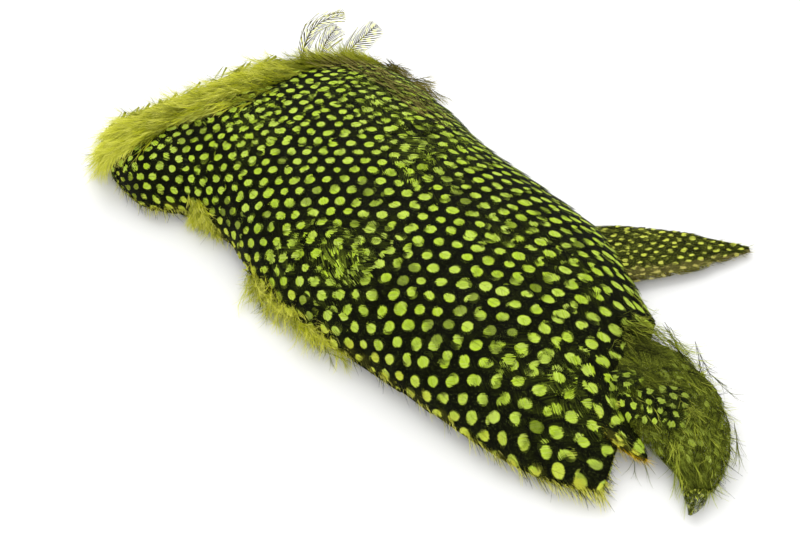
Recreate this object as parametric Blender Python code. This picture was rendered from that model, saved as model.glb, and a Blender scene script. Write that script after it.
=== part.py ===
"""Guinea fowl skin with its feathers on, dyed chartreuse, lying feather side up.

+X runs from the neck to the tail, the way the feathers lie, and +Z is up. The origin is
under the middle of the whole skin, on the surface that it lies on.
"""

import math
import random

import bmesh
import bpy
from mathutils import Vector

MM = 0.001

# Dried hide, in millimetres
HIDE_THICK = 1.5
HIDE_INSET = 9.0
HIDE_START = 0.05
HIDE_POINTS_A_SIDE = 22

# Coat of contour feathers, in millimetres
TOUCH_GAP = 0.3
COAT_FLOOR = HIDE_THICK + TOUCH_GAP
COAT_RIM = 3.4
CREST_FULLNESS = 0.8
NECK_ROUNDING = 0.10
NECK_START = 0.02
EDGE_TURN = 0.96
TAIL_FADE = 0.10
FEATHER_ROWS = 12
FEATHERS_ACROSS = 6
COLUMNS_A_FEATHER = 6
FEATHER_RISE = 2.2
FEATHER_CROWN = 0.9
TIP_REACH = 0.45
TIP_ROUNDNESS = 0.7
STEP_RUN = 0.003
EDGE_RISE = 0.35
TAIL_FLATTENING = 0.6

# From neck to tail: near edge x and y, far edge x and y, and crest height, in millimetres
STATIONS = (
    (-150.0, -5.0, -147.0, 7.0, 16.0),
    (-141.0, -14.0, -142.0, 13.0, 20.0),
    (-120.0, -21.0, -134.0, 25.0, 25.0),
    (-99.0, -15.0, -122.0, 45.0, 31.0),
    (-75.0, -20.0, -101.0, 74.0, 38.0),
    (-49.0, -34.0, -66.0, 95.0, 42.0),
    (-22.0, -44.0, -28.0, 87.0, 43.0),
    (14.0, -49.0, 2.0, 74.0, 41.0),
    (48.0, -55.0, 35.0, 66.0, 37.0),
    (80.0, -60.0, 65.0, 58.0, 30.0),
    (104.0, -60.0, 83.0, 47.0, 20.0),
    (122.0, -54.0, 105.0, 29.0, 7.0),
)

# Locks are flattened spindles that end in a point
LOCK_SIDES = 6
LOCK_STEPS = 6
PLUMP_OVAL = 0.5
FLAT_OVAL = 0.22
LOCK_ROOT_IN = 6.0
LOCK_ROOT_SHARE = 0.30
LOCK_TIP_RADIUS = 0.35
LOCK_FULLNESS = 0.35
BAND_FULLNESS = 0.2
BESIDE_TAPER = 0.75
CUT_CLEARANCE = 0.5
CUT_CORNER_LIMIT = 2.0
CUT_DEPTH = 6.0
SEED = 7

# Tufts along the coat's edge: a matted band at the roots, and locks that stand out of it.
# from_along and to_along are the stretch of edge, across is where the locks root, reach is how far
# they stand out, turn is in degrees from straight out towards the tail, and rise is their arch.
# tip_start and tip_end are the tips' heights, band_out and band_top place the band.
BAND_POINTS = 5
NECK_DOWN = dict(count=11, from_along=0.02, to_along=0.325, across=0.72, reach=(7.0, 10.0),
                 turn_start=-40.0, turn_end=10.0, turn_spread=8.0, rise=3.0, width=13.0,
                 tip_start=9.0, tip_end=22.0, band_out=2.5, band_top=28.0)
BREAST_DOWN = dict(count=4, from_along=0.29, to_along=0.35, across=-0.95, reach=(5.0, 7.0),
                   turn_start=5.0, turn_end=30.0, turn_spread=8.0, rise=0.5, width=6.0,
                   tip_start=2.4, tip_end=2.4, band_out=2.0, band_top=3.8)
FLANK_DOWN = dict(count=10, from_along=0.43, to_along=0.61, across=-0.95, reach=(8.0, 13.0),
                  turn_start=10.0, turn_end=55.0, turn_spread=12.0, rise=0.5, width=7.0,
                  tip_start=2.4, tip_end=2.4, band_out=2.2, band_top=3.8)
SHOULDER_TUFT = dict(count=6, from_along=0.43, to_along=0.53, across=0.74, reach=(15.0, 20.0),
                     turn_start=45.0, turn_end=66.0, turn_spread=8.0, rise=0.5, width=10.0,
                     tip_start=18.0, tip_end=16.0, band_out=3.0, band_top=20.0)

# Down that hangs over the end of the neck
NECK_END_WIDTH = 14.0
NECK_END_ROUTES = (
    ((-141, 2, 14), (-148, -2, 10), (-153, -12, 3.5)),
    ((-140, 8, 15), (-149, 3, 12), (-155, -8, 5.5)),
    ((-139, 14, 16), (-148, 10, 13), (-154, 0, 8)),
)

# Plumes past the tail end: route, lock width, and how far each lock lies beside the route.
# Each next lock is drawn back by a share of its length, and every other one is lifted.
RUMP_STEP_BACK = 0.06
RUMP_STEP_UP = 1.5
RUMP_PLUMES = (
    (((88, 12, 9), (112, 12, 12), (135, 4, 10), (152, -11, 7), (164, -28, 4.5)), 15.0, (-5.0, 1.0, 6.0)),
    (((90, 4, 9), (118, -2, 12), (139, -13, 10), (155, -30, 7), (163, -42, 4)), 13.0, (0.0,)),
    (((90, -2, 9), (116, -8, 12), (136, -20, 10), (151, -33, 7), (157, -50, 4)), 16.0, (-6.0, 0.0, 6.0)),
    (((92, -10, 7), (112, -18, 9), (128, -28, 7), (142, -36, 4)), 14.0, (-5.0, 3.0)),
)
THIGH_ROUTE = ((56, 44, 6), (79, 59, 6), (103, 75, 5), (125, 90.5, 2.5))
THIGH_WIDTH = 15.0
# Beside the route, above it, and the share by which each lock is shorter
THIGH_LOCKS = (
    (0.0, 1.5, 0.0),
    (6.0, 0.5, 0.08),
    (-6.0, 0.5, 0.1),
    (10.0, 0.0, 0.25),
    (-10.0, 0.0, 0.3),
)
LOOSE_WIDTH = 10.0
LOOSE_FEATHERS = {
    "loose_feather_left": ((-97, 76, 21), (-102.5, 88.5, 25), (-101, 99, 28), (-93.5, 106.5, 31)),
    "loose_feather_middle": ((-91, 82, 21), (-93, 91, 24), (-91.5, 99, 28)),
    "loose_feather_right": ((-82, 84, 20), (-82, 95, 23), (-79.5, 102.5, 26), (-77, 109, 29)),
}

SPOTTED_GREEN = (0.20, 0.30, 0.03, 1.0)
DOWN_YELLOW = (0.46, 0.45, 0.05, 1.0)
OLIVE_PLUME = (0.16, 0.19, 0.03, 1.0)
HIDE_TAN = (0.55, 0.47, 0.16, 1.0)


def clear_scene():
    """Removes what the scene starts with."""
    for old in list(bpy.data.objects):
        bpy.data.objects.remove(old, do_unlink=True)


def collection(name):
    """A new collection in the scene."""
    made = bpy.data.collections.new(name)
    bpy.context.scene.collection.children.link(made)
    return made


def material(name, colour, roughness):
    """A plain material of one colour."""
    made = bpy.data.materials.new(name)
    made.use_nodes = True
    shader = made.node_tree.nodes["Principled BSDF"]
    shader.inputs["Base Color"].default_value = colour
    shader.inputs["Roughness"].default_value = roughness
    shader.inputs["Metallic"].default_value = 0.0
    return made


def smooth_between(values, share):
    """A Catmull-Rom curve through evenly spaced values, read at a share from 0 to 1."""
    last = len(values) - 1
    place = min(max(share, 0.0), 1.0) * last
    i = min(int(place), last - 1)
    t = place - i
    a, b, c, d = (values[min(max(k, 0), last)] for k in (i - 1, i, i + 1, i + 2))
    return 0.5 * (2 * b + (c - a) * t + (2 * a - 5 * b + 4 * c - d) * t * t + (3 * b - a - 3 * c + d) * t**3)


def edges_at(along):
    """The near and far edge points of the coat in plan, and its crest height."""
    near_x, near_y, far_x, far_y, height = (
        smooth_between([station[k] for station in STATIONS], along) for k in range(5)
    )
    return Vector((near_x, near_y)), Vector((far_x, far_y)), height


def dome(along, across):
    """A point on the coat's smooth dome: along from neck 0 to tail 1, across from near -1 to far 1."""
    near, far, height = edges_at(along)
    turn = EDGE_TURN * math.pi / 2
    middle = (near + far) / 2
    plan = middle + (far - near) / 2 * math.sin(across * turn) / math.sin(turn)
    neck = math.sqrt(1 - (1 - min(along / NECK_ROUNDING + NECK_START, 1.0)) ** 2)
    rise = max(height - COAT_RIM, 0.0) * neck * math.cos(across * turn) ** CREST_FULLNESS
    return Vector((plan.x, plan.y, COAT_RIM + rise))


def dome_normal(along, across):
    """The dome's outward direction, from small steps along and across."""
    step = 0.004
    a = min(max(along, step), 1 - step)
    b = min(max(across, step - 1), 1 - step)
    run = dome(a + step, b) - dome(a - step, b)
    side = dome(a, b + step) - dome(a, b - step)
    return run.cross(side).normalized()


def row_line(row, across):
    """How far along the coat a row's scalloped line of feather tips lies."""
    if row == 0:
        return 0.0
    pitch = 1.0 / (FEATHER_ROWS + TIP_REACH)
    place = (across + 1) / 2 * FEATHERS_ACROSS + 0.5 * (row % 2)
    scallop = (0.5 + 0.5 * math.cos(2 * math.pi * place)) ** TIP_ROUNDNESS
    return pitch * (row + TIP_REACH * scallop)


def coat_point(line, across):
    """A vertex of the coat. Each row has three lines: its start, its middle and its raised tips."""
    row, part = divmod(line, 3)
    start = row_line(row, across) + (STEP_RUN if row else 0.0)
    end = row_line(row + 1, across)
    share = (0.0, 0.5, 1.0)[part]
    place = (across + 1) / 2 * FEATHERS_ACROSS + 0.5 * ((row + 1) % 2)
    crown = FEATHER_CROWN * (0.5 + 0.5 * math.cos(2 * math.pi * place)) * (0.7, 0.7, 0.0)[part]
    along = start + (end - start) * share
    edge = EDGE_RISE + (1 - EDGE_RISE) * math.sqrt(1 - across * across)
    tail = 1 - TAIL_FLATTENING * max(0.0, (along - 1 + TAIL_FADE) / TAIL_FADE)
    lift = (FEATHER_RISE * share + crown) * edge * tail
    return dome(along, across) + dome_normal(along, across) * lift


def link_mesh(name, mesh_data, home, finish=None):
    """An object that holds a bmesh, in millimetres, at its real size."""
    mesh = bpy.data.meshes.new(name)
    bmesh.ops.scale(mesh_data, vec=(MM, MM, MM), verts=mesh_data.verts)
    bmesh.ops.recalc_face_normals(mesh_data, faces=mesh_data.faces)
    mesh_data.to_mesh(mesh)
    mesh_data.free()
    made = bpy.data.objects.new(name, mesh)
    home.objects.link(made)
    if finish:
        mesh.materials.append(finish)
    return made


def make_coat(name, home, finish):
    """The domed coat: overlapping rows of feather tips on a grid, closed by a flat floor."""
    lines = FEATHER_ROWS * 3 - 1
    columns = FEATHERS_ACROSS * COLUMNS_A_FEATHER
    grid = bmesh.new()
    bmesh.ops.create_grid(grid, x_segments=lines, y_segments=columns, size=0.5)
    for vertex in grid.verts:
        line = round((vertex.co.x + 0.5) * lines)
        across = round((vertex.co.y + 0.5) * columns) / columns * 2 - 1
        vertex.co = coat_point(line, across)
    rim = [edge for edge in grid.edges if edge.is_boundary]
    wall = bmesh.ops.extrude_edge_only(grid, edges=rim)["geom"]
    for vertex in (item for item in wall if isinstance(item, bmesh.types.BMVert)):
        vertex.co.z = COAT_FLOOR
    floor = [item for item in wall if isinstance(item, bmesh.types.BMEdge) and item.is_boundary]
    bmesh.ops.contextual_create(grid, geom=floor)
    return link_mesh(name, grid, home, finish)


def coat_cutter(coat, home):
    """The coat's shape grown by a small clearance and carried down below the floor."""
    cutter = coat.copy()
    cutter.data = coat.data.copy()
    cutter.name = "coat_cutter"
    home.objects.link(cutter)
    grown = bmesh.new()
    grown.from_mesh(cutter.data)
    grown.normal_update()
    moves = []
    for vertex in grown.verts:
        corner = min(vertex.calc_shell_factor(), CUT_CORNER_LIMIT)
        moves.append(vertex.normal * CUT_CLEARANCE * MM * corner)
    low = (COAT_FLOOR + 0.01) * MM
    for vertex, move in zip(grown.verts, moves):
        on_floor = vertex.co.z < low
        vertex.co += move
        if on_floor:
            vertex.co.z = -CUT_DEPTH * MM
    grown.to_mesh(cutter.data)
    grown.free()
    mark_guide(cutter)
    return cutter


def mark_guide(guide):
    """Marks an object as a cutter or a guide."""
    guide.hide_render = True
    guide.display_type = "WIRE"


def make_skin(name, home, finish):
    """The dried hide: a thin flat sheet, the coat's outline drawn in by a margin."""
    outline = []
    for side in (0, 1):
        for k in range(HIDE_POINTS_A_SIDE):
            share = HIDE_START + (1 - 2 * HIDE_START) * k / (HIDE_POINTS_A_SIDE - 1)
            near, far, _ = edges_at(share if side == 0 else 1.0 - share)
            point, other = (near, far) if side == 0 else (far, near)
            outline.append(point + (other - point).normalized() * HIDE_INSET)
    curve = bpy.data.curves.new(name, "CURVE")
    curve.dimensions = "2D"
    curve.fill_mode = "BOTH"
    curve.extrude = HIDE_THICK / 2 * MM
    spline = curve.splines.new("POLY")
    spline.points.add(len(outline) - 1)
    for point, place in zip(spline.points, outline):
        point.co = (place.x * MM, place.y * MM, 0.0, 1.0)
    spline.use_cyclic_u = True
    curve.materials.append(finish)
    made = bpy.data.objects.new(name, curve)
    made.location.z = HIDE_THICK / 2 * MM
    home.objects.link(made)
    return made


def oval_guide(name, flatness, home):
    """A cross-section for locks: an oval of radius 1 mm, flattened along its height."""
    curve = bpy.data.curves.new(name, "CURVE")
    curve.dimensions = "2D"
    spline = curve.splines.new("POLY")
    spline.points.add(LOCK_SIDES - 1)
    for k, point in enumerate(spline.points):
        angle = 2 * math.pi * k / LOCK_SIDES
        point.co = (math.cos(angle) * MM, math.sin(angle) * flatness * MM, 0.0, 1.0)
    spline.use_cyclic_u = True
    guide = bpy.data.objects.new(name, curve)
    home.objects.link(guide)
    mark_guide(guide)
    return guide


def spread(route, share):
    """A point on the smooth curve through a route."""
    return Vector([smooth_between([p[axis] for p in route], share) for axis in range(3)])


def lock_mesh(route, width, oval, fullness=LOCK_FULLNESS):
    """A lock of feather along a route: a closed mesh that swells from its root and ends in a point."""
    curve = bpy.data.curves.new("lock", "CURVE")
    curve.dimensions = "3D"
    curve.twist_mode = "Z_UP"
    curve.bevel_mode = "OBJECT"
    curve.bevel_object = oval
    curve.use_fill_caps = True
    spline = curve.splines.new("POLY")
    spline.points.add(LOCK_STEPS)
    for k, point in enumerate(spline.points):
        share = k / LOCK_STEPS
        place = spread(route, share)
        point.co = (place.x * MM, place.y * MM, place.z * MM, 1.0)
        swell = max(math.sin(math.pi * (LOCK_ROOT_SHARE + (1 - LOCK_ROOT_SHARE) * share)), 0.0) ** fullness
        point.radius = max(width / 2 * swell, LOCK_TIP_RADIUS)
    holder = bpy.data.objects.new("lock", curve)
    bpy.context.scene.collection.objects.link(holder)
    bpy.context.view_layer.update()
    evaluated = holder.evaluated_get(bpy.context.evaluated_depsgraph_get())
    mesh = bpy.data.meshes.new_from_object(evaluated)
    bpy.data.objects.remove(holder, do_unlink=True)
    solid = bmesh.new()
    solid.from_mesh(mesh)
    bmesh.ops.remove_doubles(solid, verts=solid.verts, dist=0.00002)
    bmesh.ops.recalc_face_normals(solid, faces=solid.faces)
    solid.to_mesh(mesh)
    solid.free()
    return mesh


def combine(target, other, operation):
    """Applies one Boolean to a mesh object, and keeps the result as its mesh."""
    cut = target.modifiers.new("combine", "BOOLEAN")
    cut.operation = operation
    cut.object = other
    cut.solver = "EXACT"
    bpy.context.view_layer.update()
    evaluated = target.evaluated_get(bpy.context.evaluated_depsgraph_get())
    joined = bpy.data.meshes.new_from_object(evaluated)
    target.modifiers.remove(cut)
    target.data = joined


def keep_largest(target):
    """Drops the small scraps that a cut leaves on the far side of the coat."""
    body = bmesh.new()
    body.from_mesh(target.data)
    left = set(body.verts)
    groups = []
    while left:
        group, edge_of = set(), [left.pop()]
        while edge_of:
            vertex = edge_of.pop()
            group.add(vertex)
            for edge in vertex.link_edges:
                other = edge.other_vert(vertex)
                if other in left:
                    left.discard(other)
                    edge_of.append(other)
        groups.append(group)
    groups.sort(key=len)
    scraps = [vertex for group in groups[:-1] for vertex in group]
    bmesh.ops.delete(body, geom=scraps, context="VERTS")
    bmesh.ops.dissolve_degenerate(body, edges=body.edges, dist=0.00001)
    body.to_mesh(target.data)
    body.free()


def make_tuft(name, locks, cutters, home, finish):
    """Locks fused into one tuft, trimmed where the coat lies over their roots."""
    made = bpy.data.objects.new(name, locks[0])
    home.objects.link(made)
    for mesh in locks[1:]:
        other = bpy.data.objects.new("lock", mesh)
        bpy.context.scene.collection.objects.link(other)
        combine(made, other, "UNION")
        bpy.data.objects.remove(other, do_unlink=True)
    for cutter in cutters:
        combine(made, cutter, "DIFFERENCE")
    keep_largest(made)
    made.data.materials.clear()
    made.data.materials.append(finish)
    return made


def edge_lock(along, across, reach, turn, rise, width, oval, tip_height):
    """A lock that roots just inside the coat's edge and points outwards, turned towards the tail."""
    root = dome(along, across)
    side = -1 if across < 0 else 1
    out = Vector((math.sin(math.radians(turn)), side * math.cos(math.radians(turn)), 0.0))
    start = root - out * LOCK_ROOT_IN
    tip = root + out * reach
    tip.z = tip_height
    middle = root.lerp(tip, 0.5) + Vector((0, 0, rise))
    return lock_mesh((start, root, middle, tip), width, oval)


def tuft_of_edge_locks(name, settings, cutters, home, finish, more_locks=()):
    """A tuft of locks along a stretch of the coat's edge, drawn from the tuft's own ranges."""
    draw = random.Random(SEED)
    stretch = settings["to_along"] - settings["from_along"]
    band = []
    for k in range(BAND_POINTS):
        along = settings["from_along"] + stretch * k / (BAND_POINTS - 1)
        edge = dome(along, settings["across"])
        edge.y += settings["band_out"] * (1 if settings["across"] > 0 else -1)
        edge.z = min(edge.z, settings["band_top"])
        band.append(edge)
    locks = [lock_mesh(band, settings["width"], settings["oval"], BAND_FULLNESS)] + list(more_locks)
    for k in range(settings["count"]):
        share = k / (settings["count"] - 1)
        along = settings["from_along"] + stretch * share
        reach = draw.uniform(*settings["reach"])
        turn = settings["turn_start"] + (settings["turn_end"] - settings["turn_start"]) * share
        turn += draw.uniform(-settings["turn_spread"], settings["turn_spread"])
        tip_height = settings["tip_start"] + (settings["tip_end"] - settings["tip_start"]) * share
        locks.append(edge_lock(along, settings["across"], reach, turn, settings["rise"], settings["width"],
                               settings["oval"], tip_height))
    return make_tuft(name, locks, cutters, home, finish)


def beside(route, offset, lift, shorten=0.0):
    """A route moved sideways in plan and up, and drawn back from its tip by a share of its length."""
    moved = []
    for k in range(len(route)):
        share = k / (len(route) - 1) * (1 - shorten)
        place = spread(route, share)
        ahead = spread(route, min(share + 0.02, 1.0)) - spread(route, max(share - 0.02, 0.0))
        side = Vector((-ahead.y, ahead.x, 0.0)).normalized()
        taper = 1 - BESIDE_TAPER * share
        moved.append(place + side * offset * taper + Vector((0, 0, lift * taper)))
    return moved


def tuft_of_routes(name, routes, cutters, home, finish):
    """A tuft whose locks follow given routes. Each entry is a route, its width and its oval."""
    locks = [lock_mesh(route, width, oval) for route, width, oval in routes]
    return make_tuft(name, locks, cutters, home, finish)


def centre(home):
    """Moves the whole skin so that the middle of its box stands over the origin."""
    bpy.context.view_layer.update()
    corners = [piece.matrix_world @ Vector(corner) for piece in home.objects for corner in piece.bound_box]
    low = [min(corner[axis] for corner in corners) for axis in range(2)]
    high = [max(corner[axis] for corner in corners) for axis in range(2)]
    middle = bpy.data.objects.new("skin_centre", None)
    bpy.context.scene.collection.objects.link(middle)
    for piece in home.objects:
        piece.parent = middle
    middle.location = (-(low[0] + high[0]) / 2, -(low[1] + high[1]) / 2, 0.0)
    bpy.context.view_layer.update()


def main():
    """Builds the skin piece by piece and centres it over the origin."""
    clear_scene()
    home = collection("guinea_fowl_skin")
    guides = collection("cutters_and_guides")
    spotted = material("spotted_feather", SPOTTED_GREEN, 0.6)
    down = material("dyed_down", DOWN_YELLOW, 0.9)
    olive = material("olive_plume", OLIVE_PLUME, 0.8)
    hide_finish = material("dried_hide", HIDE_TAN, 0.7)

    coat = make_coat("body_feathers", home, spotted)
    cutter = coat_cutter(coat, guides)
    plump = oval_guide("plump_oval", PLUMP_OVAL, guides)
    flat = oval_guide("flat_oval", FLAT_OVAL, guides)
    make_skin("skin", home, hide_finish)
    neck_end = [lock_mesh(route, NECK_END_WIDTH, plump) for route in NECK_END_ROUTES]
    tuft_of_edge_locks("neck_down", dict(NECK_DOWN, oval=plump), [cutter], home, down, neck_end)
    tuft_of_edge_locks("breast_down", dict(BREAST_DOWN, oval=plump), [cutter], home, down)
    tuft_of_edge_locks("flank_down", dict(FLANK_DOWN, oval=plump), [cutter], home, down)
    tuft_of_edge_locks("shoulder_tuft", dict(SHOULDER_TUFT, oval=flat), [cutter], home, olive)

    rump = []
    for route, width, offsets in RUMP_PLUMES:
        for k, offset in enumerate(offsets):
            rump.append((beside(route, offset, RUMP_STEP_UP * (k % 2), RUMP_STEP_BACK * k), width, plump))
    tuft_of_routes("rump_tuft", rump, [cutter], home, olive)
    thigh = []
    for offset, lift, shorten in THIGH_LOCKS:
        thigh.append((beside(THIGH_ROUTE, offset, lift, shorten), THIGH_WIDTH, flat))
    tuft_of_routes("thigh_plume", thigh, [cutter], home, olive)
    for name, route in LOOSE_FEATHERS.items():
        tuft_of_routes(name, [(route, LOOSE_WIDTH, flat)], [cutter], home, spotted)
    centre(home)


main()
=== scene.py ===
"""A whole guinea fowl skin with its feathers on, dyed yellow-green, dressed feather by feather.

Lengths are in millimetres until a mesh is made. Points are first worked out in the skin's own
plan, where X runs from the neck to the tail, and then moved so that they meet the frame.
"""

import logging
import math
from collections.abc import Callable, Iterator
from dataclasses import dataclass, field
from enum import Enum

import bpy
import numpy as np
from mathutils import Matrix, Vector


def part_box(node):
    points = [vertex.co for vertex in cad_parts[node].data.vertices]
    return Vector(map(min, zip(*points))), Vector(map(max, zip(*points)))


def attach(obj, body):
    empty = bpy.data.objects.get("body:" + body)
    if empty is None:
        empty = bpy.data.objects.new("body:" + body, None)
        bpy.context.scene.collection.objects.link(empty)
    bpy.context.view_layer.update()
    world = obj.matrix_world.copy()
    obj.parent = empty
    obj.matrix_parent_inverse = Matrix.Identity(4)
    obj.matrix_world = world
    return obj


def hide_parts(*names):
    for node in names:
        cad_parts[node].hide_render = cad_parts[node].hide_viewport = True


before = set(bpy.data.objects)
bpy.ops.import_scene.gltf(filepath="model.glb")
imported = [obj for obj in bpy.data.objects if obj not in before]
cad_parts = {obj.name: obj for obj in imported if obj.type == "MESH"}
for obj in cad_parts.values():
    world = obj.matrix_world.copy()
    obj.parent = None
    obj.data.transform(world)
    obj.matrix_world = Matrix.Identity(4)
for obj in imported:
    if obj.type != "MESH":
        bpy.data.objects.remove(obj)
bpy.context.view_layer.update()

LOG = logging.getLogger("guinea_fowl_skin")
MM = 0.001
BODY = "root"

# Barbs are so fine that they look matte, and dried skin keeps a common gloss
BARB_GLOSS = 0.03
HIDE_GLOSS = 0.5

Array = np.ndarray


def linear(hex_colour: str) -> tuple[float, float, float, float]:
    """Turns an sRGB hex colour into linear values.

    Args:
        hex_colour: six hex digits, with or without a leading #.

    Returns:
        Linear red, green, blue and full alpha.
    """
    digits = hex_colour.lstrip("#")
    values = []
    for start in (0, 2, 4):
        part = int(digits[start:start + 2], 16) / 255
        values.append(part / 12.92 if part <= 0.04045 else ((part + 0.055) / 1.055) ** 2.4)
    return values[0], values[1], values[2], 1.0


def mix(a: Array, b: Array, share: Array) -> Array:
    """Goes from a to b by a share."""
    return a + (b - a) * share


def unit(vectors: Array) -> Array:
    """Vectors at length one."""
    return vectors / np.maximum(np.linalg.norm(vectors, axis=-1, keepdims=True), 1e-9)


def smooth_between(values: Array, share: Array) -> Array:
    """Reads a Catmull-Rom curve through evenly spaced values.

    Args:
        values: the values, first axis along the curve.
        share: places from 0 to 1, of any shape.

    Returns:
        The values at those places: share's shape, then the rest of values' shape.
    """
    last = len(values) - 1
    place = np.clip(share, 0.0, 1.0) * last
    i = np.minimum(place.astype(int), last - 1)
    t = (place - i).reshape(place.shape + (1,) * (values.ndim - 1))
    a, b, c, d = (values[np.clip(i + k, 0, last)] for k in (-1, 0, 1, 2))
    return 0.5 * (
        2 * b + (c - a) * t + (2 * a - 5 * b + 4 * c - d) * t * t + (3 * b - a - 3 * c + d) * t**3
    )


class Form:
    """A surface that feathers lie on, read by a place along it and a place across it."""

    def point(self, along: Array, across: Array) -> Array:
        """Gives points on the surface, carried on past its edges."""
        raise NotImplementedError

    def tangents(self, along: Array, across: Array) -> tuple[Array, Array, Array]:
        """Gives how the surface runs at places on it.

        Args:
            along: places along, 0 to 1.
            across: places across, -1 to 1.

        Returns:
            The change per unit along, the change per unit across, and the outward normal.
        """
        step = 0.004
        low_a, high_a = np.clip(along - step, 0.0, 1.0), np.clip(along + step, 0.0, 1.0)
        low_b, high_b = np.clip(across - step, -1.0, 1.0), np.clip(across + step, -1.0, 1.0)
        inner_a, inner_b = np.clip(along, 0.0, 1.0), np.clip(across, -1.0, 1.0)
        spread_a = np.maximum(high_a - low_a, step)
        spread_b = np.maximum(high_b - low_b, step)
        run = (self.point(high_a, inner_b) - self.point(low_a, inner_b)) / spread_a[..., None]
        side = (self.point(inner_a, high_b) - self.point(inner_a, low_b)) / spread_b[..., None]
        return run, side, unit(np.cross(run, side))


def limited(reach: Array, most: float) -> Array:
    """Slows a distance down so that it never passes a limit."""
    return most * (1 - np.exp(-np.abs(reach) / most)) * np.sign(reach)


@dataclass(frozen=True)
class LobeForm(Form):
    """A flat lobe along a route, such as the thigh plume, bowed up a little in its middle.

    The half widths stand at even places along the route.
    """

    route: tuple[tuple[float, float, float], ...]
    half_widths: tuple[float, ...]
    bow: float = 2.0
    lowest: float = 1.0
    past_side: float = 3.0
    past_end: float = 6.0
    run_step: float = 0.03

    def point(self, along: Array, across: Array) -> Array:
        """Gives points on the lobe, carried on past its edges.

        Args:
            along: 0 at the route's start to 1 at its end.
            across: -1 at one edge to 1 at the other.

        Returns:
            Points in millimetres, with x, y and z last.
        """
        along, across = np.broadcast_arrays(np.asarray(along, float), np.asarray(across, float))
        inside = np.clip(along, 0.0, 1.0)
        route = np.array(self.route)
        low = np.clip(inside - self.run_step, 0.0, 1.0)
        high = np.clip(inside + self.run_step, 0.0, 1.0)
        run = (smooth_between(route, high) - smooth_between(route, low)) / (high - low)[..., None]
        side = unit(np.stack([-run[..., 1], run[..., 0], np.zeros_like(along)], axis=-1))
        half = smooth_between(np.array(self.half_widths), inside)
        within = np.clip(across, -1.0, 1.0)
        out = half * within + limited(half * (across - within), self.past_side)
        on = limited((along - inside) * np.linalg.norm(run, axis=-1), self.past_end)
        points = smooth_between(route, inside) + unit(run) * on[..., None] + side * out[..., None]
        rise = self.bow * (1 - np.minimum(across**2, 1.0)) * half / max(self.half_widths)
        z = np.maximum(points[..., 2] + rise, self.lowest)
        return np.concatenate([points[..., :2], z[..., None]], axis=-1)


@dataclass(frozen=True)
class CoatForm(Form):
    """The smooth dome under the coat's feathers, the same as in the frame's solid.

    Stations run from neck to tail: near edge x and y, far edge x and y, and crest height.
    """

    stations: tuple[tuple[float, ...], ...] = (
        (-150.0, -5.0, -147.0, 7.0, 16.0),
        (-141.0, -14.0, -142.0, 13.0, 20.0),
        (-120.0, -21.0, -134.0, 25.0, 25.0),
        (-99.0, -15.0, -122.0, 45.0, 31.0),
        (-75.0, -20.0, -101.0, 74.0, 38.0),
        (-49.0, -34.0, -66.0, 95.0, 42.0),
        (-22.0, -44.0, -28.0, 87.0, 43.0),
        (14.0, -49.0, 2.0, 74.0, 41.0),
        (48.0, -55.0, 35.0, 66.0, 37.0),
        (80.0, -60.0, 65.0, 58.0, 30.0),
        (104.0, -60.0, 83.0, 47.0, 20.0),
        (122.0, -54.0, 105.0, 29.0, 7.0),
    )
    rim: float = 3.4
    fullness: float = 0.8
    neck_rounding: float = 0.10
    neck_start: float = 0.02
    edge_turn: float = 0.96
    hide_inset: float = 9.0
    hide_start: float = 0.05
    hide_points: int = 22
    lowest: float = 1.2
    droop: float = 0.35
    past_side: float = 2.5
    past_end: float = 6.0

    def edges(self, along: Array) -> tuple[Array, Array, Array]:
        """Gives the near and far edge points in plan, and the crest height, at places along."""
        values = smooth_between(np.array(self.stations), np.asarray(along, float))
        return values[..., 0:2], values[..., 2:4], values[..., 4]

    def point(self, along: Array, across: Array) -> Array:
        """Gives points on the dome, carried on past its edges.

        Args:
            along: 0 at the neck to 1 at the tail.
            across: -1 at the near edge to 1 at the far edge.

        Returns:
            Points in millimetres, with x, y and z last.
        """
        along, across = np.broadcast_arrays(np.asarray(along, float), np.asarray(across, float))
        inside_along = np.clip(along, 0.0, 1.0)
        inside_across = np.clip(across, -1.0, 1.0)
        near, far, height = self.edges(inside_along)
        turn = self.edge_turn * math.pi / 2
        middle = (near + far) / 2
        half = (far - near) / 2
        plan = middle + half * (np.sin(inside_across * turn) / math.sin(turn))[..., None]
        start = np.minimum(inside_along / self.neck_rounding + self.neck_start, 1.0)
        neck = np.sqrt(1 - (1 - start) ** 2)
        bow = np.maximum(np.cos(inside_across * turn), 0.0) ** self.fullness
        z = self.rim + np.maximum(height - self.rim, 0.0) * neck * bow
        side_on = limited((across - inside_across) * np.linalg.norm(half, axis=-1), self.past_side)
        plan = plan + unit(half) * side_on[..., None]
        step = 0.04
        near_before, far_before, _ = self.edges(np.clip(inside_along - step, 0.0, 1.0))
        near_after, far_after, _ = self.edges(np.clip(inside_along + step, 0.0, 1.0))
        share = ((inside_across + 1) / 2)[..., None]
        run = mix(near_after, far_after, share) - mix(near_before, far_before, share)
        stretch = np.where((inside_along < step) | (inside_along > 1 - step), 1.0, 2.0)[..., None] * step
        end_on = limited((along - inside_along) * np.linalg.norm(run / stretch, axis=-1), self.past_end)
        plan = plan + unit(run) * end_on[..., None]
        z = np.maximum(z - (np.abs(side_on) + np.abs(end_on)) * self.droop, self.lowest)
        return np.concatenate([plan, z[..., None]], axis=-1)

    def hide_outline(self) -> Array:
        """Gives the hide's outline in plan, the coat's outline drawn in by a margin."""
        share = self.hide_start + (1 - 2 * self.hide_start) * np.linspace(0.0, 1.0, self.hide_points)
        outline = []
        for flipped in (False, True):
            near, far, _ = self.edges(1 - share if flipped else share)
            point, other = (far, near) if flipped else (near, far)
            outline.append(point + unit(other - point) * self.hide_inset)
        return np.concatenate(outline)


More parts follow.
